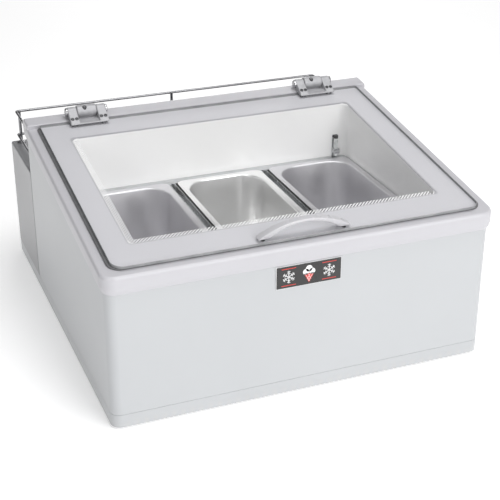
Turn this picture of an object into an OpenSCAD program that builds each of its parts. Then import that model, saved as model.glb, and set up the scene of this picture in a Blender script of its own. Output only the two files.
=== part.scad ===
// Countertop ice cream dipping cabinet: a cold well with three 1/3 Gastronorm pans under a
// sloped, rear-hinged glass lid, and a compressor housing with a gallery rail behind it.
// The front of the cabinet faces -Y. The origin is on the counter, under the middle of the cabinet.

/* [Pans] */
// Number of pans side by side
pan_count = 3; // [2:1:4]
// Width of one pan over its flange
pan_w = 176; // [140:1:216]
// Length of one pan over its flange, front to back
pan_l = 325; // [260:1:400]
// Depth of a pan below its flange
pan_depth = 150; // [100:1:190]
// Gap between the flanges of two pans
pan_gap = 17; // [12:0.5:24]
// Width of a pan's flange
pan_flange = 12; // [9:0.5:15]
// Sheet thickness of a pan
pan_sheet = 1.2; // [0.8:0.1:2]
// Corner radius of a pan's well
pan_corner_r = 38; // [20:1:50]

/* [Cold well] */
// Clearance between the outer pans and the side walls of the well
pan_side_gap = 3; // [1:0.5:8]
// Width of the ledge behind the pans
ledge_w = 17; // [14:0.5:26]
// Width of the ledge in front of the pans, wider because the well runs up to the front wall
front_ledge_w = 35; // [20:1:45]
// Width of the step in the well's front and rear walls that carries the pan frame
step_w = 12; // [8:0.5:13]
// Free height under the pans
pan_floor_gap = 15; // [8:1:40]
// Wall thickness of the white inner tub
liner_t = 2.5; // [1.5:0.1:4]
// Vertical corner radius of the well
liner_corner_r = 16; // [8:1:30]

/* [Insulated body] */
// Thickness of the side walls, skin to skin
side_wall = 66; // [50:1:90]
// Thickness of the front wall
front_wall = 80; // [60:1:130]
// Thickness of the rear wall
rear_wall = 98; // [80:1:130]
// Thickness of the floor under the well
floor_wall = 70; // [50:1:100]
// Sheet thickness of the outer skin
skin_t = 1.5; // [1:0.1:3]
// Radius of the vertical front corners
front_corner_r = 18; // [8:1:30]
// Radius of the vertical rear corners
rear_corner_r = 4; // [3:0.5:12]
// Height of the base tray's rim
tray_h = 24; // [16:1:36]
// Height of the rubber feet below the tray
foot_h = 4; // [3:0.5:12]

/* [Top collar] */
// How far the collar stands out past the skin at the sides and the front
collar_over = 6; // [4:0.5:10]
// Height of the collar's skirt
collar_skirt = 34; // [28:1:50]
// Thickness of the collar's top
collar_t = 10; // [6:0.5:16]
// Depth of the bridge behind the glass
bridge_d = 44; // [38:1:60]

/* [Glass lid] */
// Slope of the lid in degrees
lid_slope = 7.5; // [4:0.5:11]
// Height of the lid's front edge above the pans
head_room = 58; // [45:1:80]
// Thickness of the glass
glass_t = 5; // [4:0.5:8]
// Inset of the glass from the skin at each side
glass_inset = 17; // [14:0.5:24]
// Setback of the glass from the front skin
glass_setback = 8; // [6:0.5:14]
// Corner radius of the glass at the front
glass_corner_r = 22; // [10:1:40]
// Height of the squeezed rubber seal
seal_t = 3; // [2:0.5:5]
// Width of the rubber seal
seal_w = 10; // [8:0.5:14]

/* [Lid hinges] */
// Distance of each hinge's middle from the middle of the lid
hinge_x = 238; // [180:1:280]
// Gap between the middle knuckle and the glass plane below it
knuckle_gap = 0.5; // [0.3:0.1:2]
// Distance of the hinge axis behind the glass
axis_back = 16; // [15:0.5:20]
// Radius of the fixed middle knuckle
mid_knuckle_r = 11.5; // [10:0.1:14]
// Length of the middle knuckle
mid_knuckle_l = 38; // [26:1:50]
// Radius of the two moving knuckles
end_knuckle_r = 9.5; // [8:0.1:11.5]
// Length of a moving knuckle
end_knuckle_l = 18; // [12:1:26]
// Radius of the hinge pin
hinge_pin_r = 4; // [3:0.1:5]
// Running clearance of the pin in the middle knuckle
pin_clearance = 0.05; // [0.02:0.01:0.1]

/* [Handle] */
// Span of the handle over its feet
handle_span = 170; // [130:1:210]
// Rise of the handle's outer arch
handle_rise = 27; // [24:0.5:36]
// Thickness of the arch at its top
handle_t = 6; // [4:0.5:7]
// Width of the arch, front to back
handle_w = 15; // [10:0.5:20]
// Length of each foot on the glass
handle_foot = 22; // [16:1:28]
// Distance of the handle's middle line behind the front run of the seal
handle_back = 5; // [4.1:0.1:20]

/* [Plate] */
// Width of the front plate
plate_w = 120; // [90:1:160]
// Height of the front plate
plate_h = 42; // [30:1:60]
// Gap between the collar's lower edge and the plate
plate_gap = 0.8; // [0.5:0.1:8]

/* [Compressor housing] */
// Depth of the housing behind the body
housing_d = 186; // [155:1:240]
// Height of the housing's top above the counter
housing_h = 253; // [210:1:304]
// Depth of the recess that the rear panel sits in
recess_d = 16; // [14:0.5:20]
// Diameter of the compressor's shell
compressor_d = 124; // [90:1:130]
// Height of the compressor's shell
compressor_h = 150; // [110:1:180]
// Margin between the condenser's outline and the fan's tips
fan_margin = 11.25; // [9:0.25:20]
// Room above the condenser for the discharge pipe
condenser_head = 83; // [70:1:100]

/* [Gallery rail] */
// Height of the rail's top wire above the housing
rail_h = 66; // [40:1:90]
// Radius of the rail's wires
wire_r = 2.5; // [2:0.1:4]
// Radius of the rail's posts
post_r = 3; // [2.5:0.1:4]
// Inset of the wires from the housing's edges
rail_inset = 14; // [12:0.5:20]
// Height of the lower wire above the housing
low_wire_h = 16; // [12:0.5:30]

/* [Hidden] */
$fn = 64;
far = 2000;
eps = 0.01;
cut = 1;
touch = 0.3;
screw_gap = 0.05;

// Plan sizes of the well and the body
pan_pitch = pan_w + pan_gap;
well_w = pan_count * pan_w + (pan_count - 1) * pan_gap + 2 * pan_side_gap;
well_d = pan_l + ledge_w + front_ledge_w;
body_w = well_w + 2 * side_wall;
body_d = front_wall + well_d + rear_wall;
front_y = -(body_d + housing_d + collar_over) / 2 + collar_over;
body_rear = front_y + body_d;
rear_y = body_rear + housing_d;
well_front = front_y + front_wall;
well_rear = well_front + well_d;
pans_mid = well_rear - ledge_w - pan_l / 2;
pans_room = pan_l + 2 * ledge_w;

// Heights
tray_top = foot_h + tray_h;
tray_floor_t = 2;
well_floor = foot_h + floor_wall;
pan_top = well_floor + pan_floor_gap + pan_depth;
frame_t = 2;
frame_top = pan_top - pan_sheet;
step_z = frame_top - frame_t;

// Glass lid, in its own sloped frame: y runs up the slope from the front edge, z = 0 is its top
glass_y = front_y + glass_setback;
glass_z = pan_top + head_room;
glass_w = body_w - 2 * glass_inset;
glass_l = (body_d - glass_setback - bridge_d) / cos(lid_slope);
glass_rear_r = 5;
collar_drop = glass_t + seal_t;
collar_low = glass_z - (collar_drop + collar_skirt) / cos(lid_slope)
             - (glass_setback + collar_over) * tan(lid_slope);
axis_y = glass_l + axis_back;
axis_up = mid_knuckle_r + knuckle_gap;
seal_past = 5;
seal_front_in = 2;
seal_inner_r = glass_corner_r - seal_w + seal_front_in;
bridge_gap = 4;
clamp_clear = 1;

// Lid fastenings
leaf_t = 3;
leaf_reach = 18;
leaf_half_w = mid_knuckle_l / 2 + touch + end_knuckle_l;
leaf_front = glass_l - leaf_reach;
leaf_screw_r = 2.5;
leaf_head_r = 4;
leaf_head_h = 2.5;
leaf_screw_back = 10;
leaf_screw_y = glass_l - leaf_screw_back;
leaf_screw_edge = 6;
leaf_screw_pitch = 9;
leaf_screw_out = leaf_half_w - leaf_screw_edge;
leaf_screw_in = leaf_screw_out - leaf_screw_pitch;
leaf_screw_xs = [-leaf_screw_out, -leaf_screw_in, leaf_screw_in, leaf_screw_out];
arm_start = 5;
arm_lift = 2;
arm_under = 3;
clamp_t = seal_t - 0.5;
leaf_hole_r = leaf_screw_r + 1;
handle_hole_r = 4.5;
cap_t = 4;
cap_step = 1;
web_half = 6;
bracket_foot_t = 4;
bracket_screw_r = 2.5;
bracket_screw_deep = 7;
bracket_screw_back = mid_knuckle_r + 3.5;
bracket_back = bracket_screw_back + 5;
bracket_screw_y = axis_y + bracket_screw_back;
bracket_screw_x = mid_knuckle_l / 4;

// Handle
handle_y = seal_w + handle_back;
handle_hole_x = handle_span / 2 - handle_foot / 2;
handle_outer_r = (pow(handle_span / 2, 2) + pow(handle_rise, 2)) / (2 * handle_rise);
inner_span = handle_span - 2 * handle_foot;
inner_rise = handle_rise - handle_t;
handle_inner_r = (pow(inner_span / 2, 2) + pow(inner_rise, 2)) / (2 * inner_rise);
handle_screw_r = 2;
handle_screw_in = 4;
handle_screw_head_r = 4;
handle_screw_head_h = seal_t - 1;

// Front plate
plate_t = 2;
plate_corner_r = 2;
plate_z = collar_low - plate_gap - plate_h / 2;

// Rear panel and what sits on it
cover_t = 1.5;
panel_t = 1.5;
panel_y = rear_y - recess_d;
flange_w = 14;
panel_gap = 0.5;
panel_low = tray_top + 2 * panel_gap;
panel_high = housing_h - cover_t - panel_gap;
panel_half = body_w / 2 - cover_t - panel_gap;
panel_screw_x = panel_half - flange_w / 2;
screw_rows = [0.15, 0.5, 0.85];
panel_screw_r = 2;
panel_screw_l = 8;
panel_head_r = 4;
panel_head_h = 2.2;
slot_h = 5;
slot_w = 150;
slot_pitch = 14;
slot_rows = 9;
control_z = panel_low + (panel_high - panel_low) / 2;
knob_x = -56;
knob_r = 15;
knob_h = 11;
knob_step = 4;
knob_gap = 1;
knob_cap_t = 2;
rib_w = 4;
shaft_r = 3;
shaft_in = 20;
stat_w = 40;
stat_d = 26;
stat_h = 44;
switch_pitch = 55;
switch_x = knob_x + switch_pitch;
switch_body_w = 22;
switch_body_h = 28;
switch_deep = 8;
switch_frame = 3;
switch_frame_t = 2;
rocker_w = 16;
rocker_h = 20;
rocker_t = 6;
rocker_tilt = 6;
rocker_room = 1;
rocker_out = 1.5;
gland_pitch = 45;
gland_x = switch_x + gland_pitch;
gland_bore_r = 5;
gland_r = 11;
gland_neck_r = 8;
gland_collar = 4;
gland_out = 10;
gland_in = 6;

// Machinery bay
bay_floor = foot_h + tray_floor_t;
bay_mid = (body_rear + panel_y - panel_t) / 2;
compressor_inset = 150;
compressor_x = -body_w / 2 + compressor_inset;
condenser_inset = 120;
condenser_x = body_w / 2 - condenser_inset;
condenser_t = 44;
condenser_h = housing_h - condenser_head;
condenser_gap = 4;
condenser_half_d = (panel_y - panel_t - flange_w - body_rear) / 2 - condenser_gap;
condenser_foot = 12;
condenser_top = bay_floor + condenser_foot + condenser_h;
end_plate_t = 2;
tube_rows = 5;
fin_t = 1;
fin_count = 12;
fan_r = min(condenser_half_d, condenser_h / 2) - fan_margin;
fan_z = bay_floor + condenser_foot + condenser_h / 2;
fan_gap = 2;
hub_r = 16;
hub_l = 14;
blade_t = 2;
blade_chord = 30;
blade_pitch = 62;
shroud_t = 2;
shroud_d = 12;
shroud_x = condenser_x - shroud_d - 2;
fan_x = shroud_x - hub_l / 2 - 9;
motor_r = 24;
motor_l = 44;
motor_gap = 24;
motor_x = fan_x - motor_gap;
motor_shaft_r = 3;
motor_shaft_l = 26;
arm_w = 8;
arm_t = 3;
arm_x = motor_x - 6;
pipe_r = 4;
pipe_gap = 2;

// Evaporator and its pipe
coil_r = 4;
coil_turns = 4;
coil_gap = 0.1;
coil_offset = coil_r + coil_gap;
coil_low = 20;
coil_high = 30;
coil_z0 = well_floor + coil_low;
coil_pitch = (step_z - coil_z0 - coil_high) / (coil_turns - 1);
groove = 2 * coil_r + 1;
tub_half_w = well_w / 2 + liner_t;
tub_front = well_front - liner_t;
tub_rear = well_rear + liner_t;
suction_in = 12;
suction_x = compressor_x - compressor_d / 2 + suction_in;
suction_y = tub_rear - step_w + 2 * coil_offset + 1;
suction_z = coil_z0;

// Compressor
grommet_r = 10;
grommet_h = 8;
grommet_neck_r = 5;
grommet_head_r = 8;
grommet_head_h = 3;
base_plate_t = 3;
base_margin = 13;
plate_z0 = bay_floor + grommet_h;
shell_r = compressor_d / 2;
mount_x = shell_r + 14;
mount_y = shell_r - 18;
dome_r = shell_r * 1.2;
dome_drop = sqrt(dome_r * dome_r - shell_r * shell_r);
box_d = 30;
box_w = 48;
box_h = 56;
box_up = 40;
riser_x = compressor_x + shell_r / 2;
riser_r = 12;
riser_up = 8;
riser_low = plate_z0 + compressor_h / 2;
riser_top = max(condenser_top, plate_z0 + compressor_h) + riser_r + riser_up;
drop_x = condenser_x + condenser_t / 2;
drier_r = 9;
drier_l = 70;
drier_up = 60;
drier_out = 22;
drier_tail = 12;
drier_tail_r = 3;
drier_x = compressor_x + shell_r + 60;

// Gallery rail
rail_x = body_w / 2 - rail_inset;
post_x = rail_x - wire_r - post_r;
post_clear = 1.5;
post_y = panel_y + post_clear + post_r;
rail_y = post_y + post_r + wire_r;
rail_start = 6;
rail_front_y = body_rear + rail_start;
post_front_y = rail_front_y + 8;
rail_bend_r = wire_r + post_r - 0.5;
rail_foot_r = 9;
rail_foot_h = 3;
thread_l = 6;

// A rectangle with its own radius at the front and at the rear corners
module rounded_plan(half_w, y0, y1, r_front, r_rear) {
    translate([-half_w, y0 + r_front])
        square([2 * half_w, y1 - y0 - r_front - r_rear]);
    translate([-half_w + r_front, y0])
        square([2 * (half_w - r_front), r_front + eps]);
    translate([-half_w + r_rear, y1 - r_rear - eps])
        square([2 * (half_w - r_rear), r_rear + eps]);
    for (side = [-1, 1]) {
        translate([side * (half_w - r_front), y0 + r_front])
            circle(r = r_front);
        translate([side * (half_w - r_rear), y1 - r_rear])
            circle(r = r_rear);
    }
}

// An upright prism with that plan
module block(half_w, y0, y1, r_front, r_rear, z0, z1) {
    translate([0, 0, z0])
        linear_extrude(height = z1 - z0)
            rounded_plan(half_w, y0, y1, r_front, r_rear);
}

// Puts its children in the lid's own sloped frame
module on_lid() {
    translate([0, glass_y, glass_z])
        rotate([lid_slope, 0, 0])
            children();
}

// Everything between two depths under the glass's top face
module lid_layer(top, bottom) {
    on_lid()
        translate([-far / 2, -far / 2, -bottom])
            cube([far, far, bottom - top]);
}

// A cylinder along X, middle at the origin
module rod_x(r, l) {
    rotate([0, 90, 0])
        cylinder(r = r, h = l, center = true);
}

// A cylinder along +Y from the origin
module rod_y(r, l) {
    rotate([-90, 0, 0])
        cylinder(r = r, h = l);
}

// A rounded slot through a sheet that stands across Y
module slot_y(w, h, t) {
    rotate([90, 0, 0])
        linear_extrude(height = t, center = true) {
            square([w - h, h], center = true);
            for (side = [-1, 1])
                translate([side * (w - h) / 2, 0])
                    circle(r = h / 2);
        }
}

// A quarter bend of wire in plan, about its own centre, starting at the given angle
module bend(r, wire, start) {
    rotate([0, 0, start])
        rotate_extrude(angle = 90)
            translate([r, 0])
                circle(r = wire);
}

// Skin outline, moved out by grow
module body_block(grow, z0, z1) {
    block(body_w / 2 + grow, front_y - grow, body_rear + min(grow, 0),
          front_corner_r + grow, rear_corner_r + min(grow, 0), z0, z1);
}

tray_slots = 6;
tray_slot_pitch = 12;

// Shallow steel tray under the body and the machinery bay
module base_tray() {
    color("gainsboro")
        difference() {
            block(body_w / 2, front_y, rear_y, front_corner_r, rear_corner_r, foot_h, tray_top);
            block(body_w / 2 - skin_t, front_y + skin_t, rear_y - skin_t,
                  front_corner_r - skin_t, rear_corner_r - skin_t,
                  bay_floor, tray_top + cut);
            for (i = [0:tray_slots - 1])
                translate([condenser_x + (i - (tray_slots - 1) / 2) * tray_slot_pitch, bay_mid, foot_h])
                    cube([slot_h, condenser_half_d, 3 * tray_floor_t], center = true);
        }
}

foot_r = 18;
foot_taper = 2;
foot_inset = 50;
foot_x = body_w / 2 - foot_inset;

// Four rubber feet
module rubber_feet() {
    color("dimgray")
        for (x = [-foot_x, foot_x], y = [front_y + foot_inset, rear_y - foot_inset])
            translate([x, y, 0])
                cylinder(r1 = foot_r - foot_taper, r2 = foot_r, h = foot_h);
}

// White outer skin, four walls in one sheet, with the pipe hole in its rear
module outer_skin() {
    color("white")
        difference() {
            intersection() {
                body_block(0, tray_top, far);
                lid_layer(collar_drop + collar_t, far);
            }
            body_block(-skin_t, tray_top - cut, far);
            translate([suction_x, body_rear - 2 * skin_t, suction_z])
                rod_y(pipe_r + pipe_gap, 4 * skin_t);
        }
}

// The outside of the tub: a wide upper part and a lower part between the two steps
module tub_outside(top) {
    block(tub_half_w, tub_front, tub_rear, liner_corner_r + liner_t, liner_corner_r + liner_t,
          step_z - liner_t, top);
    block(tub_half_w, tub_front + step_w, tub_rear - step_w, liner_corner_r + liner_t,
          liner_corner_r + liner_t, well_floor - liner_t, step_z);
}

// Foam between the skin and the tub, grooved for the coil
module insulation() {
    color("khaki")
        difference() {
            intersection() {
                body_block(-skin_t, bay_floor, far);
                lid_layer(collar_drop + collar_t, far);
            }
            tub_outside(far);
            for (i = [0:coil_turns - 1])
                block(tub_half_w + groove, tub_front + step_w - groove, tub_rear - step_w + groove,
                      liner_corner_r + groove, liner_corner_r + groove,
                      coil_z0 + i * coil_pitch - groove / 2, coil_z0 + i * coil_pitch + groove / 2);
            translate([suction_x, tub_rear - step_w, suction_z])
                rod_y(pipe_r + pipe_gap, far);
        }
}

// White inner tub with a step at the front and the rear for the pan frame
module inner_tub() {
    color("white")
        difference() {
            intersection() {
                tub_outside(far);
                lid_layer(collar_drop + collar_t, far);
            }
            block(well_w / 2, well_front, well_rear, liner_corner_r, liner_corner_r, step_z, far);
            block(well_w / 2, well_front + step_w, well_rear - step_w, liner_corner_r,
                  liner_corner_r, well_floor, far);
        }
}

// One turn of tube round the tub
module coil_turn(z) {
    half_w = tub_half_w + coil_offset;
    y0 = tub_front + step_w - coil_offset;
    y1 = tub_rear - step_w + coil_offset;
    r = liner_corner_r + liner_t + coil_offset;
    translate([0, 0, z]) {
        for (y = [y0, y1])
            translate([0, y, 0])
                rod_x(coil_r, 2 * (half_w - r));
        for (x = [-half_w, half_w])
            translate([x, y0 + r, 0])
                rod_y(coil_r, y1 - y0 - 2 * r);
        translate([half_w - r, y1 - r, 0])
            bend(r, coil_r, 0);
        translate([-half_w + r, y1 - r, 0])
            bend(r, coil_r, 90);
        translate([-half_w + r, y0 + r, 0])
            bend(r, coil_r, 180);
        translate([half_w - r, y0 + r, 0])
            bend(r, coil_r, 270);
    }
}

// Evaporator: copper turns that lie on the tub in the foam's grooves
module evaporator_coil() {
    color("chocolate")
        for (i = [0:coil_turns - 1])
            coil_turn(coil_z0 + i * coil_pitch);
}

// Moulded collar: a sloped top with the well's opening, a skirt over the skin, and a bridge
// behind the glass
module top_collar() {
    color("white")
        difference() {
            union() {
                intersection() {
                    body_block(collar_over, tray_top, far);
                    lid_layer(collar_drop, collar_drop + collar_t);
                }
                difference() {
                    intersection() {
                        body_block(collar_over, tray_top, far);
                        lid_layer(collar_drop, collar_drop + collar_skirt);
                    }
                    block(body_w / 2 + touch, front_y - touch, rear_y, front_corner_r + touch,
                          rear_corner_r, tray_top, far);
                }
                intersection() {
                    body_block(collar_over, tray_top, far);
                    on_lid()
                        translate([-far / 2, glass_l + bridge_gap, -collar_drop - eps])
                            cube([far, far, collar_drop + eps]);
                }
            }
            block(well_w / 2, well_front, well_rear, liner_corner_r, liner_corner_r, step_z, far);
            on_lid()
                for (side = [-1, 1], x = [-1, 1])
                    translate([side * hinge_x + x * bracket_screw_x, bracket_screw_y,
                               -bracket_screw_deep - screw_gap])
                        cylinder(r = bracket_screw_r + screw_gap, h = bracket_screw_deep + cut);
        }
}

// Black rubber seal round the opening, cut away at the hinge clamps
module lid_seal() {
    color("black")
        on_lid()
            difference() {
                translate([0, 0, -collar_drop])
                    linear_extrude(height = seal_t - screw_gap)
                        difference() {
                            rounded_plan(glass_w / 2 + seal_past, seal_front_in, glass_l,
                                         glass_corner_r, glass_rear_r);
                            rounded_plan(glass_w / 2 + seal_past - seal_w, seal_w,
                                         glass_l - seal_w, seal_inner_r, glass_rear_r);
                        }
                for (side = [-1, 1])
                    translate([side * hinge_x - leaf_half_w - clamp_clear, leaf_front - clamp_clear,
                               -collar_drop - cut])
                        cube([2 * (leaf_half_w + clamp_clear), leaf_reach + 3 * clamp_clear,
                              seal_t + 2 * cut]);
            }
}

frame_side = pan_side_gap + pan_flange / 2;
frame_end = ledge_w + pan_flange / 2;
frame_fit = 1;

// Stainless ring on the tub's steps, which the pans hang in
module pan_frame() {
    color("silver")
        difference() {
            block(well_w / 2 - frame_fit, well_front + frame_fit, well_rear - frame_fit,
                  liner_corner_r - frame_fit, liner_corner_r - frame_fit, step_z, frame_top);
            translate([0, pans_mid, step_z])
                cube([well_w - 2 * frame_side, pans_room - 2 * frame_end, 3 * frame_t], center = true);
        }
}

bar_w = 12;
bar_h = 14;
bar_t = 1.2;

// Channel bars under the frame, one in each gap between pans
module divider_bars() {
    color("silver")
        for (i = [1:pan_count - 1])
            translate([(i - pan_count / 2) * pan_pitch, 0, 0])
                difference() {
                    translate([-bar_w / 2, well_front + step_w + touch, step_z - bar_h])
                        cube([bar_w, well_d - 2 * (step_w + touch), bar_h]);
                    translate([-bar_w / 2 + bar_t, well_front, step_z - bar_h + bar_t])
                        cube([bar_w - 2 * bar_t, well_d, bar_h]);
                }
}

probe_plate_w = 12;
probe_plate_t = 2;
probe_hole_r = 2;
probe_r = 4.5;
probe_l = 40;
probe_cap_h = 6;
probe_x = well_w / 2 - liner_corner_r - probe_plate_w / 2 - touch;
probe_y = well_rear - probe_plate_t - probe_r - screw_gap;
probe_clip_t = 2;
probe_clip_h = 10;
probe_clip_z = frame_top + 8;

// Plate on the tub's rear wall that holds the temperature probe
module probe_bracket() {
    color("silver")
        difference() {
            translate([probe_x - probe_plate_w / 2, well_rear - probe_plate_t, frame_top])
                cube([probe_plate_w, probe_plate_t, probe_l + probe_cap_h]);
            translate([probe_x, well_rear - 2 * probe_plate_t, frame_top + probe_l])
                rod_y(probe_hole_r, 3 * probe_plate_t);
        }
}

// Temperature probe, a closed tube with a cap that stands in front of its bracket
module probe_tube() {
    color("lightgray")
        translate([probe_x, probe_y, frame_top + touch]) {
            cylinder(r = probe_r, h = probe_l);
            translate([0, 0, probe_l])
                cylinder(r = probe_r + screw_gap / 2, h = probe_cap_h);
        }
}

// Spring clip that grips the probe low down
module probe_clip() {
    color("gray")
        translate([probe_x, probe_y, probe_clip_z])
            difference() {
                translate([-probe_plate_w / 2, -probe_r - probe_clip_t, 0])
                    cube([probe_plate_w, 2 * probe_r + probe_clip_t, probe_clip_h]);
                translate([0, 0, -cut])
                    cylinder(r = probe_r + screw_gap, h = probe_clip_h + 2 * cut);
            }
}

// Plain black plate on the front
module front_plate() {
    color("black")
        translate([0, front_y - plate_t, plate_z])
            rotate([-90, 0, 0])
                linear_extrude(height = plate_t)
                    rounded_plan(plate_w / 2, -plate_h / 2, plate_h / 2, plate_corner_r,
                                 plate_corner_r);
}

// Folded cover of the machinery bay: two sides, a top and the flanges that the panel screws to
module housing_cover() {
    color("white")
        difference() {
            translate([-body_w / 2, body_rear, tray_top])
                cube([body_w, housing_d, housing_h - tray_top]);
            translate([-body_w / 2 + cover_t, body_rear - cut, tray_top - cut])
                cube([body_w - 2 * cover_t, panel_y - panel_t - cover_t - body_rear + cut,
                      housing_h - tray_top - cover_t + cut]);
            translate([-body_w / 2 + cover_t, panel_y - panel_t, tray_top - cut])
                cube([body_w - 2 * cover_t, recess_d + panel_t + cut,
                      housing_h - tray_top - cover_t + cut]);
            translate([-body_w / 2 + flange_w, body_rear, tray_top - cut])
                cube([body_w - 2 * flange_w, housing_d, housing_h - tray_top - flange_w + cut]);
            panel_screw_places()
                translate([0, -panel_screw_l, 0])
                    rod_y(panel_screw_r + screw_gap, 2 * panel_screw_l);
            post_places()
                translate([0, 0, -2 * cover_t])
                    cylinder(r = post_r + screw_gap, h = 4 * cover_t);
        }
}

// Puts its children at each screw of the rear panel
module panel_screw_places() {
    for (x = [-panel_screw_x, panel_screw_x], k = screw_rows)
        translate([x, panel_y, panel_low + k * (panel_high - panel_low)])
            children();
}

// Rear panel with two fields of air slots and the holes for the controls
module rear_panel() {
    color("gainsboro")
        difference() {
            translate([-panel_half, panel_y - panel_t, panel_low])
                cube([2 * panel_half, panel_t, panel_high - panel_low]);
            for (x = [compressor_x, condenser_x - slot_w / 4], i = [0:slot_rows - 1])
                translate([x, panel_y, control_z + (i - (slot_rows - 1) / 2) * slot_pitch])
                    slot_y(slot_w, slot_h, 4 * panel_t);
            panel_screw_places()
                translate([0, -panel_screw_l, 0])
                    rod_y(panel_screw_r + screw_gap, 2 * panel_screw_l);
            translate([knob_x, panel_y - 2 * panel_t, control_z])
                rod_y(shaft_r + 1, 4 * panel_t);
            translate([switch_x, panel_y, control_z])
                cube([switch_body_w + 2 * screw_gap, 4 * panel_t, switch_body_h + 2 * screw_gap],
                     center = true);
            translate([gland_x, panel_y - 2 * panel_t, control_z])
                rod_y(gland_neck_r + screw_gap, 4 * panel_t);
        }
}

// Pan-head screws of the rear panel
module panel_screws() {
    color("silver")
        panel_screw_places() {
            rod_y(panel_head_r, panel_head_h);
            translate([0, -panel_screw_l, 0])
                rod_y(panel_screw_r, panel_screw_l);
        }
}

// Hermetic compressor on its mounting plate
module compressor() {
    color("dimgray")
        difference() {
            translate([compressor_x, bay_mid, plate_z0]) {
                translate([-mount_x - base_margin, -mount_y - base_margin, 0])
                    cube([2 * (mount_x + base_margin), 2 * (mount_y + base_margin), base_plate_t]);
                cylinder(r = shell_r, h = compressor_h - (dome_r - dome_drop));
                intersection() {
                    translate([0, 0, compressor_h - dome_r])
                        sphere(r = dome_r);
                    cylinder(r = shell_r, h = compressor_h + cut);
                }
            }
            for (x = [-mount_x, mount_x], y = [-mount_y, mount_y])
                translate([compressor_x + x, bay_mid + y, plate_z0 - cut])
                    cylinder(r = grommet_neck_r, h = base_plate_t + 2 * cut);
        }
}

// Rubber grommets under the compressor
module compressor_grommets() {
    color("black")
        for (x = [-mount_x, mount_x], y = [-mount_y, mount_y])
            translate([compressor_x + x, bay_mid + y, bay_floor]) {
                cylinder(r = grommet_r, h = grommet_h);
                cylinder(r = grommet_neck_r - screw_gap, h = grommet_h + base_plate_t);
                translate([0, 0, grommet_h + base_plate_t])
                    cylinder(r = grommet_head_r, h = grommet_head_h);
            }
}

// Electrical box on the compressor's side
module terminal_box() {
    color("black")
        difference() {
            translate([compressor_x, bay_mid - box_w / 2, plate_z0 + box_up])
                cube([shell_r + box_d, box_w, box_h]);
            translate([compressor_x, bay_mid, plate_z0])
                cylinder(r = shell_r + touch, h = compressor_h);
        }
}

// Condenser: fins on a serpentine of tubes
module condenser() {
    color("silver")
        translate([condenser_x, bay_mid, bay_floor + condenser_foot]) {
            for (i = [0:fin_count])
                translate([0, (i / fin_count - 0.5) * (2 * condenser_half_d - fin_t) - fin_t / 2, 0])
                    cube([condenser_t, fin_t, condenser_h]);
            for (i = [0:tube_rows - 1])
                translate([condenser_t / 2, -condenser_half_d, (i + 0.5) * condenser_h / tube_rows])
                    rod_y(pipe_r, 2 * condenser_half_d);
            for (y = [-condenser_half_d, condenser_half_d - end_plate_t])
                translate([0, y, -condenser_foot])
                    cube([condenser_t, end_plate_t, condenser_h + condenser_foot]);
        }
}

// Plate that guides the air of the fan through the condenser
module fan_shroud() {
    color("gray")
        difference() {
            translate([shroud_x, bay_mid - condenser_half_d, bay_floor])
                cube([shroud_d, 2 * condenser_half_d, condenser_top - bay_floor]);
            translate([shroud_x + shroud_t, bay_mid - condenser_half_d + shroud_t,
                       bay_floor + condenser_foot])
                cube([shroud_d, 2 * (condenser_half_d - shroud_t), condenser_h - shroud_t]);
            translate([shroud_x + shroud_t / 2, bay_mid, fan_z])
                rod_x(fan_r + fan_gap, 2 * shroud_t);
        }
}

// Fan motor with its shaft and the four arms that hold it to the shroud
module fan_motor() {
    color("dimgray") {
        translate([motor_x - motor_l / 2, bay_mid, fan_z])
            rod_x(motor_r, motor_l);
        translate([motor_x + motor_shaft_l / 2 - cut, bay_mid, fan_z])
            rod_x(motor_shaft_r, motor_shaft_l);
        for (a = [45:90:315])
            translate([arm_x - arm_t, bay_mid, fan_z])
                rotate([a, 0, 0]) {
                    translate([0, motor_r - arm_t, -arm_w / 2])
                        cube([arm_t, fan_r + arm_w - motor_r, arm_w]);
                    translate([0, fan_r + arm_w - arm_t, -arm_w / 2])
                        cube([shroud_x - arm_x + arm_t, arm_t, arm_w]);
                }
    }
}

// Fan: a hub and four pitched blades
module fan_blades() {
    color("white")
        translate([fan_x, bay_mid, fan_z])
            difference() {
                union() {
                    rod_x(hub_r, hub_l);
                    for (a = [0:90:270])
                        rotate([a, 0, 0])
                            translate([0, 0, (fan_r - fan_gap + hub_r / 2) / 2])
                                rotate([0, 0, blade_pitch])
                                    cube([blade_t, blade_chord, fan_r - fan_gap - hub_r / 2],
                                         center = true);
                }
                rod_x(motor_shaft_r + pin_clearance, 4 * hub_l);
            }
}

// Filter drier in the liquid line
module filter_drier() {
    color("peru")
        translate([drier_x, body_rear + drier_out, bay_floor + drier_up]) {
            cylinder(r = drier_r, h = drier_l);
            translate([0, 0, -drier_tail])
                cylinder(r = drier_tail_r, h = drier_l + 2 * drier_tail);
        }
}

// Pipe from the evaporator through the rear wall to the compressor
module suction_pipe() {
    color("peru")
        difference() {
            translate([suction_x, suction_y, suction_z])
                rod_y(pipe_r, bay_mid - suction_y);
            translate([compressor_x, bay_mid, plate_z0])
                cylinder(r = shell_r + screw_gap, h = compressor_h);
        }
}

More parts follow.
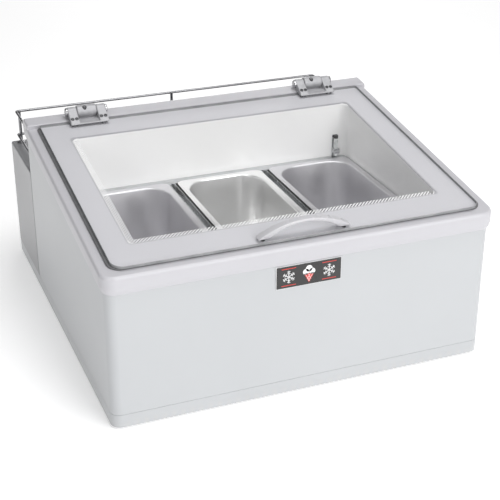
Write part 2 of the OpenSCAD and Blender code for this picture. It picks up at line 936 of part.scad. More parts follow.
// Pipe from the compressor's dome over the fan to the top of the condenser
module discharge_pipe() {
    color("peru")
        difference() {
            translate([0, bay_mid, 0]) {
                translate([riser_x, 0, riser_low])
                    cylinder(r = pipe_r, h = riser_top - riser_r - riser_low);
                translate([riser_x + riser_r, 0, riser_top - riser_r])
                    rotate([90, 0, 0])
                        bend(riser_r, pipe_r, 90);
                translate([(riser_x + drop_x) / 2, 0, riser_top])
                    rod_x(pipe_r, drop_x - riser_x - 2 * riser_r);
                translate([drop_x - riser_r, 0, riser_top - riser_r])
                    rotate([90, 0, 0])
                        bend(riser_r, pipe_r, 0);
                translate([drop_x, 0, condenser_top + touch])
                    cylinder(r = pipe_r, h = riser_top - riser_r - condenser_top - touch);
            }
            translate([compressor_x, bay_mid, plate_z0 + compressor_h - dome_r])
                sphere(r = dome_r + screw_gap);
        }
}

// Thermostat behind the rear panel
module thermostat() {
    color("beige")
        difference() {
            translate([knob_x - stat_w / 2, panel_y - panel_t - stat_d, control_z - stat_h / 2])
                cube([stat_w, stat_d, stat_h]);
            translate([knob_x, panel_y - 2 * stat_d, control_z])
                rod_y(shaft_r + pin_clearance, 3 * stat_d);
        }
}

// Shaft of the thermostat
module thermostat_shaft() {
    color("silver")
        translate([knob_x, panel_y - panel_t - shaft_in, control_z])
            rod_y(shaft_r, shaft_in + panel_t + knob_h - knob_cap_t);
}

// Knob of the thermostat, with its pointer rib
module thermostat_knob() {
    color("black")
        difference() {
            translate([knob_x, panel_y + knob_gap, control_z]) {
                rod_y(knob_r, knob_h - knob_step);
                rod_y(knob_r - knob_step, knob_h);
                translate([-rib_w / 2, 0, 0])
                    cube([rib_w, knob_h, knob_r]);
            }
            translate([knob_x, panel_y, control_z])
                rod_y(shaft_r + screw_gap, knob_h - knob_cap_t + screw_gap);
        }
}

// Frame and body of the rocker switch
module switch_body() {
    color("black")
        difference() {
            union() {
                translate([switch_x, panel_y - panel_t - switch_deep, control_z])
                    cube([switch_body_w, 2 * (panel_t + switch_deep), switch_body_h], center = true);
                translate([switch_x, panel_y + switch_frame_t / 2, control_z])
                    cube([switch_body_w + 2 * switch_frame, switch_frame_t,
                          switch_body_h + 2 * switch_frame], center = true);
            }
            translate([switch_x, panel_y + switch_frame_t, control_z])
                cube([rocker_w + 2 * touch, 2 * (rocker_t + rocker_room), rocker_h + 2 * rocker_room],
                     center = true);
        }
}

// Rocker, drawn pressed in at its upper edge
module switch_rocker() {
    color("darkred")
        translate([switch_x, panel_y + rocker_out, control_z])
            rotate([rocker_tilt, 0, 0])
                cube([rocker_w, rocker_t, rocker_h], center = true);
}

// Gland that the supply cord leaves by
module cord_gland() {
    color("black")
        difference() {
            union() {
                translate([gland_x, panel_y - panel_t - gland_in, control_z])
                    rod_y(gland_neck_r, gland_in + panel_t + gland_out);
                translate([gland_x, panel_y, control_z])
                    rod_y(gland_r, gland_collar);
            }
            translate([gland_x, panel_y - 3 * gland_in, control_z])
                rod_y(gland_bore_r, 6 * gland_in);
        }
}

// A wire bent round three sides of the housing
module rail_wire(z) {
    r = rail_bend_r;
    translate([0, 0, z]) {
        for (side = [-1, 1])
            translate([side * rail_x, rail_front_y, 0])
                rod_y(wire_r, rail_y - rail_front_y - r);
        translate([0, rail_y, 0])
            rod_x(wire_r, 2 * (rail_x - r));
        translate([rail_x - r, rail_y - r, 0])
            bend(r, wire_r, 0);
        translate([-rail_x + r, rail_y - r, 0])
            bend(r, wire_r, 90);
    }
}

// Top wire of the rail
module rail_top_wire() {
    color("silver")
        rail_wire(housing_h + rail_h);
}

// Lower wire of the rail
module rail_low_wire() {
    color("silver")
        rail_wire(housing_h + low_wire_h);
}

// Puts its children at the foot of each post
module post_places() {
    for (x = [-post_x, post_x])
        translate([x, post_front_y, housing_h])
            children();
    for (x = [-post_x, 0, post_x])
        translate([x, post_y, housing_h])
            children();
}

// Posts inside the wires, each with a threaded end through the housing
module rail_posts() {
    color("silver")
        post_places()
            translate([0, 0, -thread_l])
                cylinder(r = post_r, h = rail_h + wire_r + thread_l);
}

// Round feet of the posts
module rail_feet() {
    color("silver")
        post_places()
            difference() {
                cylinder(r = rail_foot_r, h = rail_foot_h);
                translate([0, 0, -cut])
                    cylinder(r = post_r + screw_gap, h = rail_foot_h + 2 * cut);
            }
}

// Fixed half of a hinge: the big middle knuckle on its foot
module hinge_bracket(x) {
    color("silver")
        on_lid()
            translate([x, axis_y, 0])
                difference() {
                    union() {
                        translate([0, 0, axis_up])
                            rod_x(mid_knuckle_r, mid_knuckle_l);
                        translate([-mid_knuckle_l / 2, -web_half, 0])
                            cube([mid_knuckle_l, bracket_back + web_half, bracket_foot_t]);
                        translate([-mid_knuckle_l / 2, -web_half, 0])
                            cube([mid_knuckle_l, 2 * web_half, axis_up]);
                    }
                    translate([0, 0, axis_up])
                        rod_x(hinge_pin_r + pin_clearance, mid_knuckle_l + 2 * cut);
                    for (k = [-1, 1])
                        translate([k * bracket_screw_x, bracket_screw_back, -cut])
                            cylinder(r = bracket_screw_r + screw_gap, h = bracket_foot_t + 2 * cut);
                }
}

module hinge_bracket_left() {
    hinge_bracket(-hinge_x);
}

module hinge_bracket_right() {
    hinge_bracket(hinge_x);
}

// Screws of the two fixed halves
module bracket_screws() {
    color("dimgray")
        on_lid()
            for (side = [-1, 1], k = [-1, 1])
                translate([side * hinge_x + k * bracket_screw_x, bracket_screw_y, bracket_foot_t]) {
                    cylinder(r = leaf_head_r, h = leaf_head_h);
                    translate([0, 0, -bracket_foot_t - bracket_screw_deep])
                        cylinder(r = bracket_screw_r, h = bracket_foot_t + bracket_screw_deep);
                }
}

// Moving half of a hinge: a plate on the glass and the two outer knuckles
module hinge_leaf(x) {
    color("silver")
        on_lid()
            translate([x, 0, 0])
                difference() {
                    union() {
                        translate([-leaf_half_w, leaf_front, 0])
                            cube([2 * leaf_half_w, leaf_reach, leaf_t]);
                        for (side = [-1, 1])
                            translate([side * (leaf_half_w - end_knuckle_l / 2), 0, 0]) {
                                translate([0, axis_y, axis_up])
                                    rod_x(end_knuckle_r, end_knuckle_l);
                                translate([-end_knuckle_l / 2, glass_l - arm_start, arm_lift])
                                    cube([end_knuckle_l, axis_back + arm_start,
                                          axis_up - arm_under - arm_lift]);
                            }
                    }
                    translate([0, axis_y, axis_up])
                        rod_x(hinge_pin_r + screw_gap, 2 * (leaf_half_w + cut));
                    for (k = leaf_screw_xs)
                        translate([k, leaf_screw_y, -cut])
                            cylinder(r = leaf_screw_r + screw_gap, h = leaf_t + 2 * cut);
                }
}

module hinge_leaf_left() {
    hinge_leaf(-hinge_x);
}

module hinge_leaf_right() {
    hinge_leaf(hinge_x);
}

// Hinge pin with a round cap at each end
module hinge_pin(x) {
    color("gainsboro")
        on_lid()
            translate([x, axis_y, axis_up]) {
                rod_x(hinge_pin_r, 2 * leaf_half_w);
                for (side = [-1, 1])
                    translate([side * (leaf_half_w + cap_t / 2), 0, 0])
                        rod_x(end_knuckle_r - cap_step, cap_t);
            }
}

module hinge_pin_left() {
    hinge_pin(-hinge_x);
}

module hinge_pin_right() {
    hinge_pin(hinge_x);
}

// Plates under the glass that the leaves clamp to
module clamp_plates() {
    color("silver")
        on_lid()
            for (side = [-1, 1])
                difference() {
                    translate([side * hinge_x - leaf_half_w, leaf_front, -glass_t - clamp_t])
                        cube([2 * leaf_half_w, leaf_reach - cut, clamp_t]);
                    for (k = leaf_screw_xs)
                        translate([side * hinge_x + k, leaf_screw_y, -collar_drop - cut])
                            cylinder(r = leaf_screw_r + screw_gap, h = collar_drop + cut);
                }
}

// Cap screws through leaf, glass and clamp plate
module leaf_screws() {
    color("dimgray")
        on_lid()
            for (side = [-1, 1], k = leaf_screw_xs)
                translate([side * hinge_x + k, leaf_screw_y, 0]) {
                    translate([0, 0, leaf_t])
                        cylinder(r = leaf_head_r, h = leaf_head_h);
                    translate([0, 0, -glass_t - clamp_t])
                        cylinder(r = leaf_screw_r, h = glass_t + clamp_t + leaf_t);
                }
}

// Toughened glass, drilled for the hinges and the handle
module lid_glass() {
    color("lightblue", 0.5)
        on_lid()
            difference() {
                translate([0, 0, -glass_t])
                    linear_extrude(height = glass_t)
                        rounded_plan(glass_w / 2, 0, glass_l, glass_corner_r, glass_rear_r);
                for (side = [-1, 1], k = leaf_screw_xs)
                    translate([side * hinge_x + k, leaf_screw_y, -glass_t - cut])
                        cylinder(r = leaf_hole_r, h = glass_t + 2 * cut);
                for (side = [-1, 1])
                    translate([side * handle_hole_x, handle_y, -glass_t - cut])
                        cylinder(r = handle_hole_r, h = glass_t + 2 * cut);
            }
}

// Arched handle: one arc cut by a smaller one, flat underneath
module lid_handle() {
    color("white")
        on_lid()
            translate([0, handle_y, 0])
                difference() {
                    rotate([90, 0, 0])
                        linear_extrude(height = handle_w, center = true)
                            difference() {
                                translate([0, handle_rise - handle_outer_r])
                                    circle(r = handle_outer_r, $fn = 128);
                                translate([0, inner_rise - handle_inner_r])
                                    circle(r = handle_inner_r, $fn = 128);
                                translate([-far / 2, -far])
                                    square([far, far]);
                            }
                    for (side = [-1, 1])
                        translate([side * handle_hole_x, 0, -cut])
                            cylinder(r = handle_screw_r + screw_gap, h = handle_screw_in + cut);
                }
}

// Screws that hold the handle from under the glass
module handle_screws() {
    color("silver")
        on_lid()
            for (side = [-1, 1])
                translate([side * handle_hole_x, handle_y, 0]) {
                    translate([0, 0, -glass_t - handle_screw_head_h])
                        cylinder(r = handle_screw_head_r, h = handle_screw_head_h);
                    translate([0, 0, -glass_t])
                        cylinder(r = handle_screw_r, h = glass_t + handle_screw_in - screw_gap);
                }
}

flange_corner_r = 14;

// One pan: a deep well with round corners under a flat flange
module pan(x) {
    half_w = pan_w / 2;
    y0 = pans_mid - pan_l / 2;
    y1 = pans_mid + pan_l / 2;
    color("lightgray")
        translate([x, 0, 0])
            difference() {
                union() {
                    block(half_w, y0, y1, flange_corner_r, flange_corner_r, pan_top - pan_sheet, pan_top);
                    block(half_w - pan_flange, y0 + pan_flange, y1 - pan_flange,
                          pan_corner_r, pan_corner_r, pan_top - pan_depth, pan_top);
                }
                block(half_w - pan_flange - pan_sheet, y0 + pan_flange + pan_sheet,
                      y1 - pan_flange - pan_sheet, pan_corner_r - pan_sheet,
                      pan_corner_r - pan_sheet, pan_top - pan_depth + pan_sheet, pan_top + cut);
            }
}

module pan_left() {
    pan(-(pan_count - 1) / 2 * pan_pitch);
}

module pan_centre() {
    for (i = [1:pan_count - 2])
        pan((i - (pan_count - 1) / 2) * pan_pitch);
}

module pan_right() {
    pan((pan_count - 1) / 2 * pan_pitch);
}

base_tray();
rubber_feet();
outer_skin();
insulation();
inner_tub();
evaporator_coil();
top_collar();
lid_seal();
pan_frame();
divider_bars();
probe_bracket();
probe_tube();
probe_clip();
front_plate();
housing_cover();
rear_panel();
panel_screws();
compressor();
compressor_grommets();
terminal_box();
condenser();
fan_shroud();
fan_motor();
fan_blades();
filter_drier();
suction_pipe();
discharge_pipe();
thermostat();
thermostat_shaft();
thermostat_knob();
switch_body();
switch_rocker();
cord_gland();
rail_top_wire();
rail_low_wire();
rail_posts();
rail_feet();
hinge_bracket_left();
hinge_bracket_right();
bracket_screws();
hinge_leaf_left();
hinge_leaf_right();
hinge_pin_left();
hinge_pin_right();
clamp_plates();
leaf_screws();
lid_glass();
lid_handle();
handle_screws();
pan_left();
pan_centre();
pan_right();
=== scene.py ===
"""Looks of the countertop ice cream dipping cabinet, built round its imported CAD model."""

import math

import bmesh
import bpy
from mathutils import Matrix, Vector


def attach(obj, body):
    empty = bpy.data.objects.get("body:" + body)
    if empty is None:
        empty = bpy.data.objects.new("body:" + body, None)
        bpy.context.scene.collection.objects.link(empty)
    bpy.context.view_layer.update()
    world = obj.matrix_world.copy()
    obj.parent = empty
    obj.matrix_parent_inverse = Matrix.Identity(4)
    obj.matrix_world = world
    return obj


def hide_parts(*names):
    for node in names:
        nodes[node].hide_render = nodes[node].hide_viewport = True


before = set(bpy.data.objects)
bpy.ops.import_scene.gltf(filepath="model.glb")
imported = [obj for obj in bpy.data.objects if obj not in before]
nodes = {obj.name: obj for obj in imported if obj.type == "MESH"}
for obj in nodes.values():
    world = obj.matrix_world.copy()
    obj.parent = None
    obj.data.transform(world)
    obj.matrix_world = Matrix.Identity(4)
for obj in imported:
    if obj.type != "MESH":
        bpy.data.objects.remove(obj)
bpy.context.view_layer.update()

MM = 0.001
SMOOTH_ANGLE = math.radians(32)
SHARP_EDGE = math.radians(40)
FLAT_ANGLE = math.radians(0.6)
CORNER_STEPS = 8
LEVEL_STEP = 0.01          # neighbouring rings never lie in one plane, so they bridge squarely

# ---------------------------------------------------------------- camera, floor and light

YAW = math.radians(21.551)
PITCH = math.radians(-26.025)
LENS = 84.83
SENSOR_WIDTH = 36.0
CAMERA_PLACE = (-0.7365, -1.9651, 1.1312)
WORLD_TURN = math.radians(35.0)      # the studio is darker to the left and behind
WORLD_STRENGTH = 0.5
WORLD_RAMP = ((0.1, (0.2, 0.2, 0.21, 1)), (0.65, (1.0, 1.0, 1.0, 1)))
FLOOR_SIZE = 9.0


def make_camera():
    data = bpy.data.cameras.new("camera")
    data.lens = LENS
    data.sensor_width = SENSOR_WIDTH
    camera = bpy.data.objects.new("camera", data)
    bpy.context.scene.collection.objects.link(camera)
    forward = Vector((math.sin(YAW) * math.cos(PITCH), math.cos(YAW) * math.cos(PITCH),
                      math.sin(PITCH)))
    camera.location = CAMERA_PLACE
    camera.rotation_mode = "QUATERNION"
    camera.rotation_quaternion = forward.to_track_quat("-Z", "Y")
    bpy.context.scene.camera = camera


def area_lamp(name, place, aim, size, power):
    data = bpy.data.lights.new(name, "AREA")
    data.size = size
    data.energy = power
    lamp = bpy.data.objects.new(name, data)
    bpy.context.scene.collection.objects.link(lamp)
    lamp.location = place
    lamp.rotation_mode = "QUATERNION"
    lamp.rotation_quaternion = (Vector(aim) - Vector(place)).to_track_quat("-Z", "Y")


def make_light():
    """Four softboxes in a studio whose walls go from grey to white."""
    area_lamp("key_softbox", (1.1, -3.3, 1.7), (0.0, -0.2, 0.2), 2.2, 66.0)
    area_lamp("top_softbox", (0.2, -0.5, 3.0), (0.0, -0.1, 0.2), 1.8, 42.0)
    area_lamp("left_softbox", (-2.2, -2.2, 1.2), (-0.3, -0.3, 0.1), 1.4, 15.0)
    area_lamp("rear_softbox", (1.8, 4.5, 1.6), (1.0, 2.3, 0.0), 1.6, 30.0)
    world = bpy.data.worlds.new("studio")
    bpy.context.scene.world = world
    world.use_nodes = True
    tree = world.node_tree
    background = tree.nodes["Background"]
    background.inputs["Strength"].default_value = WORLD_STRENGTH
    spot = tree.nodes.new("ShaderNodeTexCoord")
    turned = tree.nodes.new("ShaderNodeMapping")
    turned.inputs["Rotation"].default_value = (0.0, 0.0, WORLD_TURN)
    split = tree.nodes.new("ShaderNodeSeparateXYZ")
    ramp = tree.nodes.new("ShaderNodeValToRGB")
    link(tree, spot.outputs["Generated"], turned.inputs[0])
    link(tree, turned.outputs[0], split.inputs[0])
    link(tree, between(tree, split.outputs["X"], -1.0, 1.0), ramp.inputs[0])
    link(tree, ramp.outputs[0], background.inputs["Color"])
    for element, (position, colour) in zip(ramp.color_ramp.elements, WORLD_RAMP):
        element.position = position
        element.color = colour


# ---------------------------------------------------------------- materials

def link(tree, a, b):
    tree.links.new(a, b)


MATERIALS = {}             # by the name each was asked for


def new_material(name):
    m = bpy.data.materials.new(name)
    MATERIALS[name] = m
    m.use_nodes = True
    return m.node_tree, m.node_tree.nodes["Principled BSDF"]


def placed(tree, scale=(1, 1, 1), location=(0, 0, 0), rotation=(0, 0, 0), kind="POINT"):
    """Object coordinates through a Mapping node."""
    spot = tree.nodes.new("ShaderNodeTexCoord")
    mapping = tree.nodes.new("ShaderNodeMapping")
    mapping.vector_type = kind
    mapping.inputs["Scale"].default_value = scale
    mapping.inputs["Location"].default_value = location
    mapping.inputs["Rotation"].default_value = rotation
    link(tree, spot.outputs["Object"], mapping.inputs["Vector"])
    return mapping.outputs[0]


def noise(tree, vector, scale, detail=2.0, rough=0.5):
    n = tree.nodes.new("ShaderNodeTexNoise")
    n.inputs["Scale"].default_value = scale
    n.inputs["Detail"].default_value = detail
    n.inputs["Roughness"].default_value = rough
    link(tree, vector, n.inputs["Vector"])
    return n.outputs["Fac"]


def between(tree, value, low, high, out_low=0.0, out_high=1.0):
    n = tree.nodes.new("ShaderNodeMapRange")
    for key, number in (("From Min", low), ("From Max", high), ("To Min", out_low),
                        ("To Max", out_high)):
        n.inputs[key].default_value = number
    link(tree, value, n.inputs["Value"])
    return n.outputs[0]


def maths(tree, kind, a, b=None):
    n = tree.nodes.new("ShaderNodeMath")
    n.operation = kind
    for i, v in enumerate((a, b)):
        if v is None:
            continue
        if isinstance(v, (int, float)):
            n.inputs[i].default_value = v
        else:
            link(tree, v, n.inputs[i])
    return n.outputs[0]


def blend(tree, share, first, second):
    """Colour mix; first and second are colours or sockets."""
    n = tree.nodes.new("ShaderNodeMix")
    n.data_type = "RGBA"
    link(tree, share, n.inputs[0])
    for socket, v in ((n.inputs[6], first), (n.inputs[7], second)):
        if isinstance(v, tuple):
            socket.default_value = (*v, 1.0)
        else:
            link(tree, v, socket)
    return n.outputs[2]


def finish(name, light, dark, roughness, metallic=0.0, mottle=25.0, spread=0.05, grain=400.0,
           depth=0.00002, stretch=(1, 1, 1), **sockets):
    """A finish with slow mottling in colour and gloss, and a fine grain in relief."""
    tree, shader = new_material(name)
    vector = placed(tree, scale=stretch)
    slow = between(tree, noise(tree, vector, mottle, 4.0), 0.35, 0.65)
    link(tree, blend(tree, slow, dark, light), shader.inputs["Base Color"])
    link(tree, between(tree, slow, 0.0, 1.0, roughness - spread, roughness + spread),
         shader.inputs["Roughness"])
    bump = tree.nodes.new("ShaderNodeBump")
    bump.inputs["Strength"].default_value = 1.0
    bump.inputs["Distance"].default_value = depth
    link(tree, noise(tree, vector, grain, 2.0), bump.inputs["Height"])
    link(tree, bump.outputs[0], shader.inputs["Normal"])
    shader.inputs["Metallic"].default_value = metallic
    for key, number in sockets.items():
        shader.inputs[key.replace("_", " ")].default_value = number
    return tree, shader


GRIME_TOP = 0.022          # metres
GRIME_SHARE = 0.35
GRIME = (0.55, 0.54, 0.52)


def enamel(name, light, dark):
    """Stove enamel: faint orange peel, and a little grime low down."""
    tree, shader = finish(name, light, dark, 0.38, mottle=3.0, spread=0.04, grain=260.0,
                          depth=0.000022, Coat_Weight=0.25, Coat_Roughness=0.18)
    clean = shader.inputs["Base Color"].links[0].from_socket
    split = tree.nodes.new("ShaderNodeSeparateXYZ")
    link(tree, placed(tree), split.inputs[0])
    low = between(tree, split.outputs["Z"], 0.0, GRIME_TOP, GRIME_SHARE, 0.0)
    patchy = maths(tree, "MULTIPLY", low, noise(tree, placed(tree), 60.0, 5.0))
    link(tree, blend(tree, patchy, clean, GRIME), shader.inputs["Base Color"])


def spangled(name):
    """Galvanised sheet with its crystals, one grey tone to each."""
    tree, shader = new_material(name)
    cells = tree.nodes.new("ShaderNodeTexVoronoi")
    cells.inputs["Scale"].default_value = 140.0
    link(tree, placed(tree), cells.inputs["Vector"])
    tone = maths(tree, "MULTIPLY", cells.outputs["Color"], 1.0)
    link(tree, blend(tree, tone, (0.42, 0.43, 0.45), (0.66, 0.67, 0.69)),
         shader.inputs["Base Color"])
    link(tree, between(tree, tone, 0.0, 1.0, 0.32, 0.5), shader.inputs["Roughness"])
    shader.inputs["Metallic"].default_value = 0.9


GLASS_SLOPE = math.radians(7.5)
GLASS_PLACE = (0.0, -359.5, 297.0)
CLEAR_MIDDLE = (-1.5, 259.0)
CLEAR_HALF = (285.5, 191.0)
CLEAR_CORNER = 6.0
HATCH_WIDTH = 11.0
HATCH_PITCH = 6.4
INK_PASSES = 0.8           # share of the lamps' light that the printed border lets through
INK_PALE, INK_PALER = (0.585, 0.582, 0.61), (0.60, 0.597, 0.625)
INK_EDGE, INK_HATCH = (0.46, 0.46, 0.48), (0.86, 0.86, 0.86)
INK_EDGE_AT = (0.5, 3.5)   # mm over which the border goes from its edge's tone to its own
INK_ROUGH = 0.4
GLASS_TINT = (0.998, 0.998, 0.998, 1)
GLASS_ROUGH = 0.03
TOP_MIRRORS, PRINT_MIRRORS = 0.03, 0.01     # share mirrored when seen straight on
EDGE_MIRRORS = 0.6                          # what a flat view adds to it


def clear_window(tree):
    """Distance in mm past the edge of the glass's clear window, and the place on the glass."""
    spot = placed(tree, scale=(MM, MM, MM), rotation=(GLASS_SLOPE, 0, 0), kind="TEXTURE",
                  location=tuple(v * MM for v in GLASS_PLACE))
    split = tree.nodes.new("ShaderNodeSeparateXYZ")
    link(tree, spot, split.inputs[0])
    across, along = split.outputs["X"], split.outputs["Y"]
    past = []
    for value, middle, half in ((across, CLEAR_MIDDLE[0], CLEAR_HALF[0]),
                                (along, CLEAR_MIDDLE[1], CLEAR_HALF[1])):
        off = maths(tree, "ABSOLUTE", maths(tree, "SUBTRACT", value, middle))
        past.append(maths(tree, "SUBTRACT", off, half - CLEAR_CORNER))
    outside = [maths(tree, "MAXIMUM", p, 0.0) for p in past]
    squares = [maths(tree, "MULTIPLY", o, o) for o in outside]
    reach = maths(tree, "SQRT", maths(tree, "ADD", squares[0], squares[1]))
    inside = maths(tree, "MINIMUM", maths(tree, "MAXIMUM", past[0], past[1]), 0.0)
    distance = maths(tree, "SUBTRACT", maths(tree, "ADD", reach, inside), CLEAR_CORNER)
    return distance, across, along


def clear_sheet(tree, mirrors):
    """Clear glass that mirrors more the flatter it is seen."""
    clear = tree.nodes.new("ShaderNodeBsdfTransparent")
    clear.inputs["Color"].default_value = GLASS_TINT
    gloss = tree.nodes.new("ShaderNodeBsdfGlossy")
    gloss.inputs["Roughness"].default_value = GLASS_ROUGH
    facing = tree.nodes.new("ShaderNodeLayerWeight")
    facing.inputs["Blend"].default_value = 0.5
    steep = maths(tree, "POWER", facing.outputs["Facing"], 5.0)
    share = maths(tree, "ADD", maths(tree, "MULTIPLY", steep, EDGE_MIRRORS), mirrors)
    return mixed(tree, share, clear, gloss)


def mixed(tree, share, first, second):
    """Mixes two shaders."""
    mix = tree.nodes.new("ShaderNodeMixShader")
    link(tree, share, mix.inputs[0])
    link(tree, first.outputs[0], mix.inputs[1])
    link(tree, second.outputs[0], mix.inputs[2])
    return mix


def hatched(tree, distance, across, along):
    """1 on the slanted lines inside the border's front and left edges."""
    band = maths(tree, "GREATER_THAN", distance, -HATCH_WIDTH)
    diagonal = maths(tree, "SUBTRACT", across, along)
    wave = maths(tree, "SINE", maths(tree, "MULTIPLY", diagonal, 2 * math.pi / HATCH_PITCH))
    lines = maths(tree, "MULTIPLY", band, maths(tree, "GREATER_THAN", wave, 0.0))
    kept = []
    for value, middle, half in ((along, CLEAR_MIDDLE[1], CLEAR_HALF[1]),
                                (across, CLEAR_MIDDLE[0], CLEAR_HALF[0])):
        kept.append(maths(tree, "LESS_THAN", value, middle + half - HATCH_WIDTH - 1.0))
    return maths(tree, "MULTIPLY", lines, maths(tree, "MULTIPLY", *kept))


def pane(name, printed):
    """Clear glass; the printed face carries a pale grey border with a hatched inner edge."""
    tree, shader = new_material(name)
    out = tree.nodes["Material Output"]
    sheet = clear_sheet(tree, PRINT_MIRRORS if printed else TOP_MIRRORS)
    if not printed:
        link(tree, sheet.outputs[0], out.inputs["Surface"])
        tree.nodes.remove(shader)
        return
    distance, across, along = clear_window(tree)
    border = maths(tree, "GREATER_THAN", distance, 0.0)
    mask = maths(tree, "MAXIMUM", border, hatched(tree, distance, across, along))
    tone = between(tree, noise(tree, placed(tree), 8.0, 3.0), 0.3, 0.7)
    edge = between(tree, distance, *INK_EDGE_AT)
    inked = blend(tree, edge, INK_EDGE, blend(tree, tone, INK_PALE, INK_PALER))
    link(tree, blend(tree, border, INK_HATCH, inked), shader.inputs["Base Color"])
    shader.inputs["Roughness"].default_value = INK_ROUGH
    path = tree.nodes.new("ShaderNodeLightPath")
    passed = maths(tree, "MULTIPLY", path.outputs["Is Shadow Ray"], INK_PASSES)
    mask = maths(tree, "MULTIPLY", mask, maths(tree, "SUBTRACT", 1.0, passed))
    link(tree, mixed(tree, mask, sheet, shader).outputs[0], out.inputs["Surface"])


def brushed(name, light, dark, roughness, stretch, grain=90.0, depth=0.00003):
    """Stainless steel with its brushing drawn out along one axis."""
    finish(name, light, dark, roughness, metallic=1.0, mottle=14.0, spread=0.06, grain=grain,
           depth=depth, stretch=stretch)


def make_materials():
    enamel("white_enamel", (0.475, 0.487, 0.50), (0.46, 0.472, 0.485))
    finish("white_moulding", (0.505, 0.50, 0.525), (0.49, 0.485, 0.51), 0.34, mottle=4.0,
           grain=500.0, depth=0.000012, Coat_Weight=0.15, Coat_Roughness=0.2)
    # painted light: the liner's white set about twice as bright as the cabinet's other whites
    finish("tub_white_painted_light", (0.965, 0.965, 0.96), (0.95, 0.95, 0.945), 0.35, mottle=5.0,
           grain=420.0, depth=0.00001, Coat_Weight=0.2, Coat_Roughness=0.15)
    # painted shade: the cabinet's white enamel set darker for the housing and rear panel
    enamel("housing_enamel_painted_shade", (0.31, 0.312, 0.322), (0.298, 0.30, 0.31))
    finish("foam", (0.85, 0.74, 0.45), (0.72, 0.60, 0.34), 0.9, grain=700.0, depth=0.0004)
    finish("copper", (0.72, 0.38, 0.24), (0.52, 0.27, 0.17), 0.33, metallic=1.0, mottle=60.0,
           spread=0.1, grain=900.0)
    finish("pan_steel", (0.95, 0.95, 0.945), (0.92, 0.92, 0.92), 0.34, metallic=1.0, mottle=5.0,
           spread=0.02, grain=300.0, depth=0.000001)
    # painted shade: darker steel for the two outer pans, which are alike to the centre one
    brushed("pan_dull_painted_shade", (0.76, 0.755, 0.775), (0.71, 0.705, 0.725), 0.5, (2.0, 2.0, 1.0), 60.0,
            0.000004)
    brushed("frame_steel", (0.60, 0.61, 0.62), (0.50, 0.51, 0.52), 0.3, (1.0, 14.0, 14.0))
    finish("rail_chrome", (0.30, 0.30, 0.31), (0.22, 0.22, 0.23), 0.3, metallic=1.0,
           mottle=30.0, grain=1500.0, depth=0.000006)
    finish("hinge_casting", (0.43, 0.43, 0.445), (0.37, 0.37, 0.385), 0.5, metallic=0.25,
           mottle=120.0, spread=0.07, grain=1400.0, depth=0.00004)
    finish("pin_steel", (0.55, 0.55, 0.56), (0.42, 0.42, 0.43), 0.22, metallic=1.0, mottle=90.0,
           grain=1600.0, depth=0.000008)
    # painted shade: the screws' steel set near black, standing in for the shade of their recesses
    finish("screw_steel", (0.13, 0.13, 0.135), (0.08, 0.08, 0.085), 0.45, metallic=1.0,
           mottle=300.0, spread=0.08, grain=1800.0)
    finish("black_rubber", (0.035, 0.035, 0.038), (0.022, 0.022, 0.024), 0.72, mottle=80.0,
           grain=1600.0, depth=0.00005)
    finish("seal_grey", (0.16, 0.16, 0.165), (0.12, 0.12, 0.125), 0.6, mottle=60.0,
           grain=1500.0, depth=0.00003)
    finish("black_plastic", (0.03, 0.03, 0.033), (0.02, 0.02, 0.022), 0.5, mottle=60.0,
           grain=1800.0, depth=0.00004)
    finish("plate_black", (0.022, 0.021, 0.021), (0.014, 0.013, 0.013), 0.3, mottle=20.0,
           grain=900.0, depth=0.000006, Coat_Weight=0.3, Coat_Roughness=0.1)
    finish("plate_white", (0.86, 0.86, 0.86), (0.80, 0.80, 0.80), 0.45, mottle=80.0)
    finish("plate_red", (0.66, 0.065, 0.05), (0.55, 0.045, 0.04), 0.4, mottle=80.0)
    finish("plate_rim", (0.72, 0.72, 0.73), (0.6, 0.6, 0.61), 0.35, mottle=80.0)
    finish("rocker_red", (0.55, 0.05, 0.04), (0.45, 0.03, 0.03), 0.22, mottle=60.0,
           Coat_Weight=0.5)
    finish("handle_white", (0.52, 0.515, 0.535), (0.50, 0.495, 0.515), 0.3, mottle=30.0,
           grain=900.0, depth=0.00001, Coat_Weight=0.2)
    finish("compressor_black", (0.03, 0.03, 0.032), (0.018, 0.018, 0.02), 0.3, mottle=30.0,
           grain=300.0, depth=0.00003, Coat_Weight=0.5)
    finish("fin_aluminium", (0.72, 0.73, 0.74), (0.6, 0.61, 0.62), 0.35, metallic=1.0,
           mottle=50.0, grain=800.0)
    spangled("zinc_sheet")
    finish("fan_plastic", (0.70, 0.70, 0.70), (0.62, 0.62, 0.62), 0.5, mottle=40.0, grain=900.0)
    finish("thermostat_case", (0.74, 0.69, 0.58), (0.66, 0.61, 0.5), 0.5, mottle=60.0,
           grain=900.0)
    finish("probe_metal", (0.78, 0.80, 0.80), (0.68, 0.70, 0.70), 0.3, metallic=0.35,
           mottle=90.0, grain=1200.0)
    pane("pane_top", False)
    pane("pane_print", True)
    finish("pane_edge", (0.30, 0.305, 0.31), (0.22, 0.225, 0.23), 0.2, mottle=30.0, grain=600.0,
           Coat_Weight=0.6)
    finish("floor", (0.93, 0.93, 0.93), (0.92, 0.92, 0.92), 0.7, mottle=0.8, grain=60.0,
           depth=0.00002, Emission_Color=(1.0, 1.0, 1.0, 1.0), Emission_Strength=0.32)


# ---------------------------------------------------------------- building blocks, all in mm

def joined(*parts):
    """One bmesh of several."""
    whole = bmesh.new()
    for bm in parts:
        held = bpy.data.meshes.new("held")
        bm.to_mesh(held)
        bm.free()
        whole.from_mesh(held)
        bpy.data.meshes.remove(held)
    return whole


def round_edges(bm, edges, offset, segments, **options):
    bmesh.ops.bevel(bm, geom=edges, offset=offset, offset_type="OFFSET", segments=segments,
                    profile=0.5, affect="EDGES", material=-1, **options)


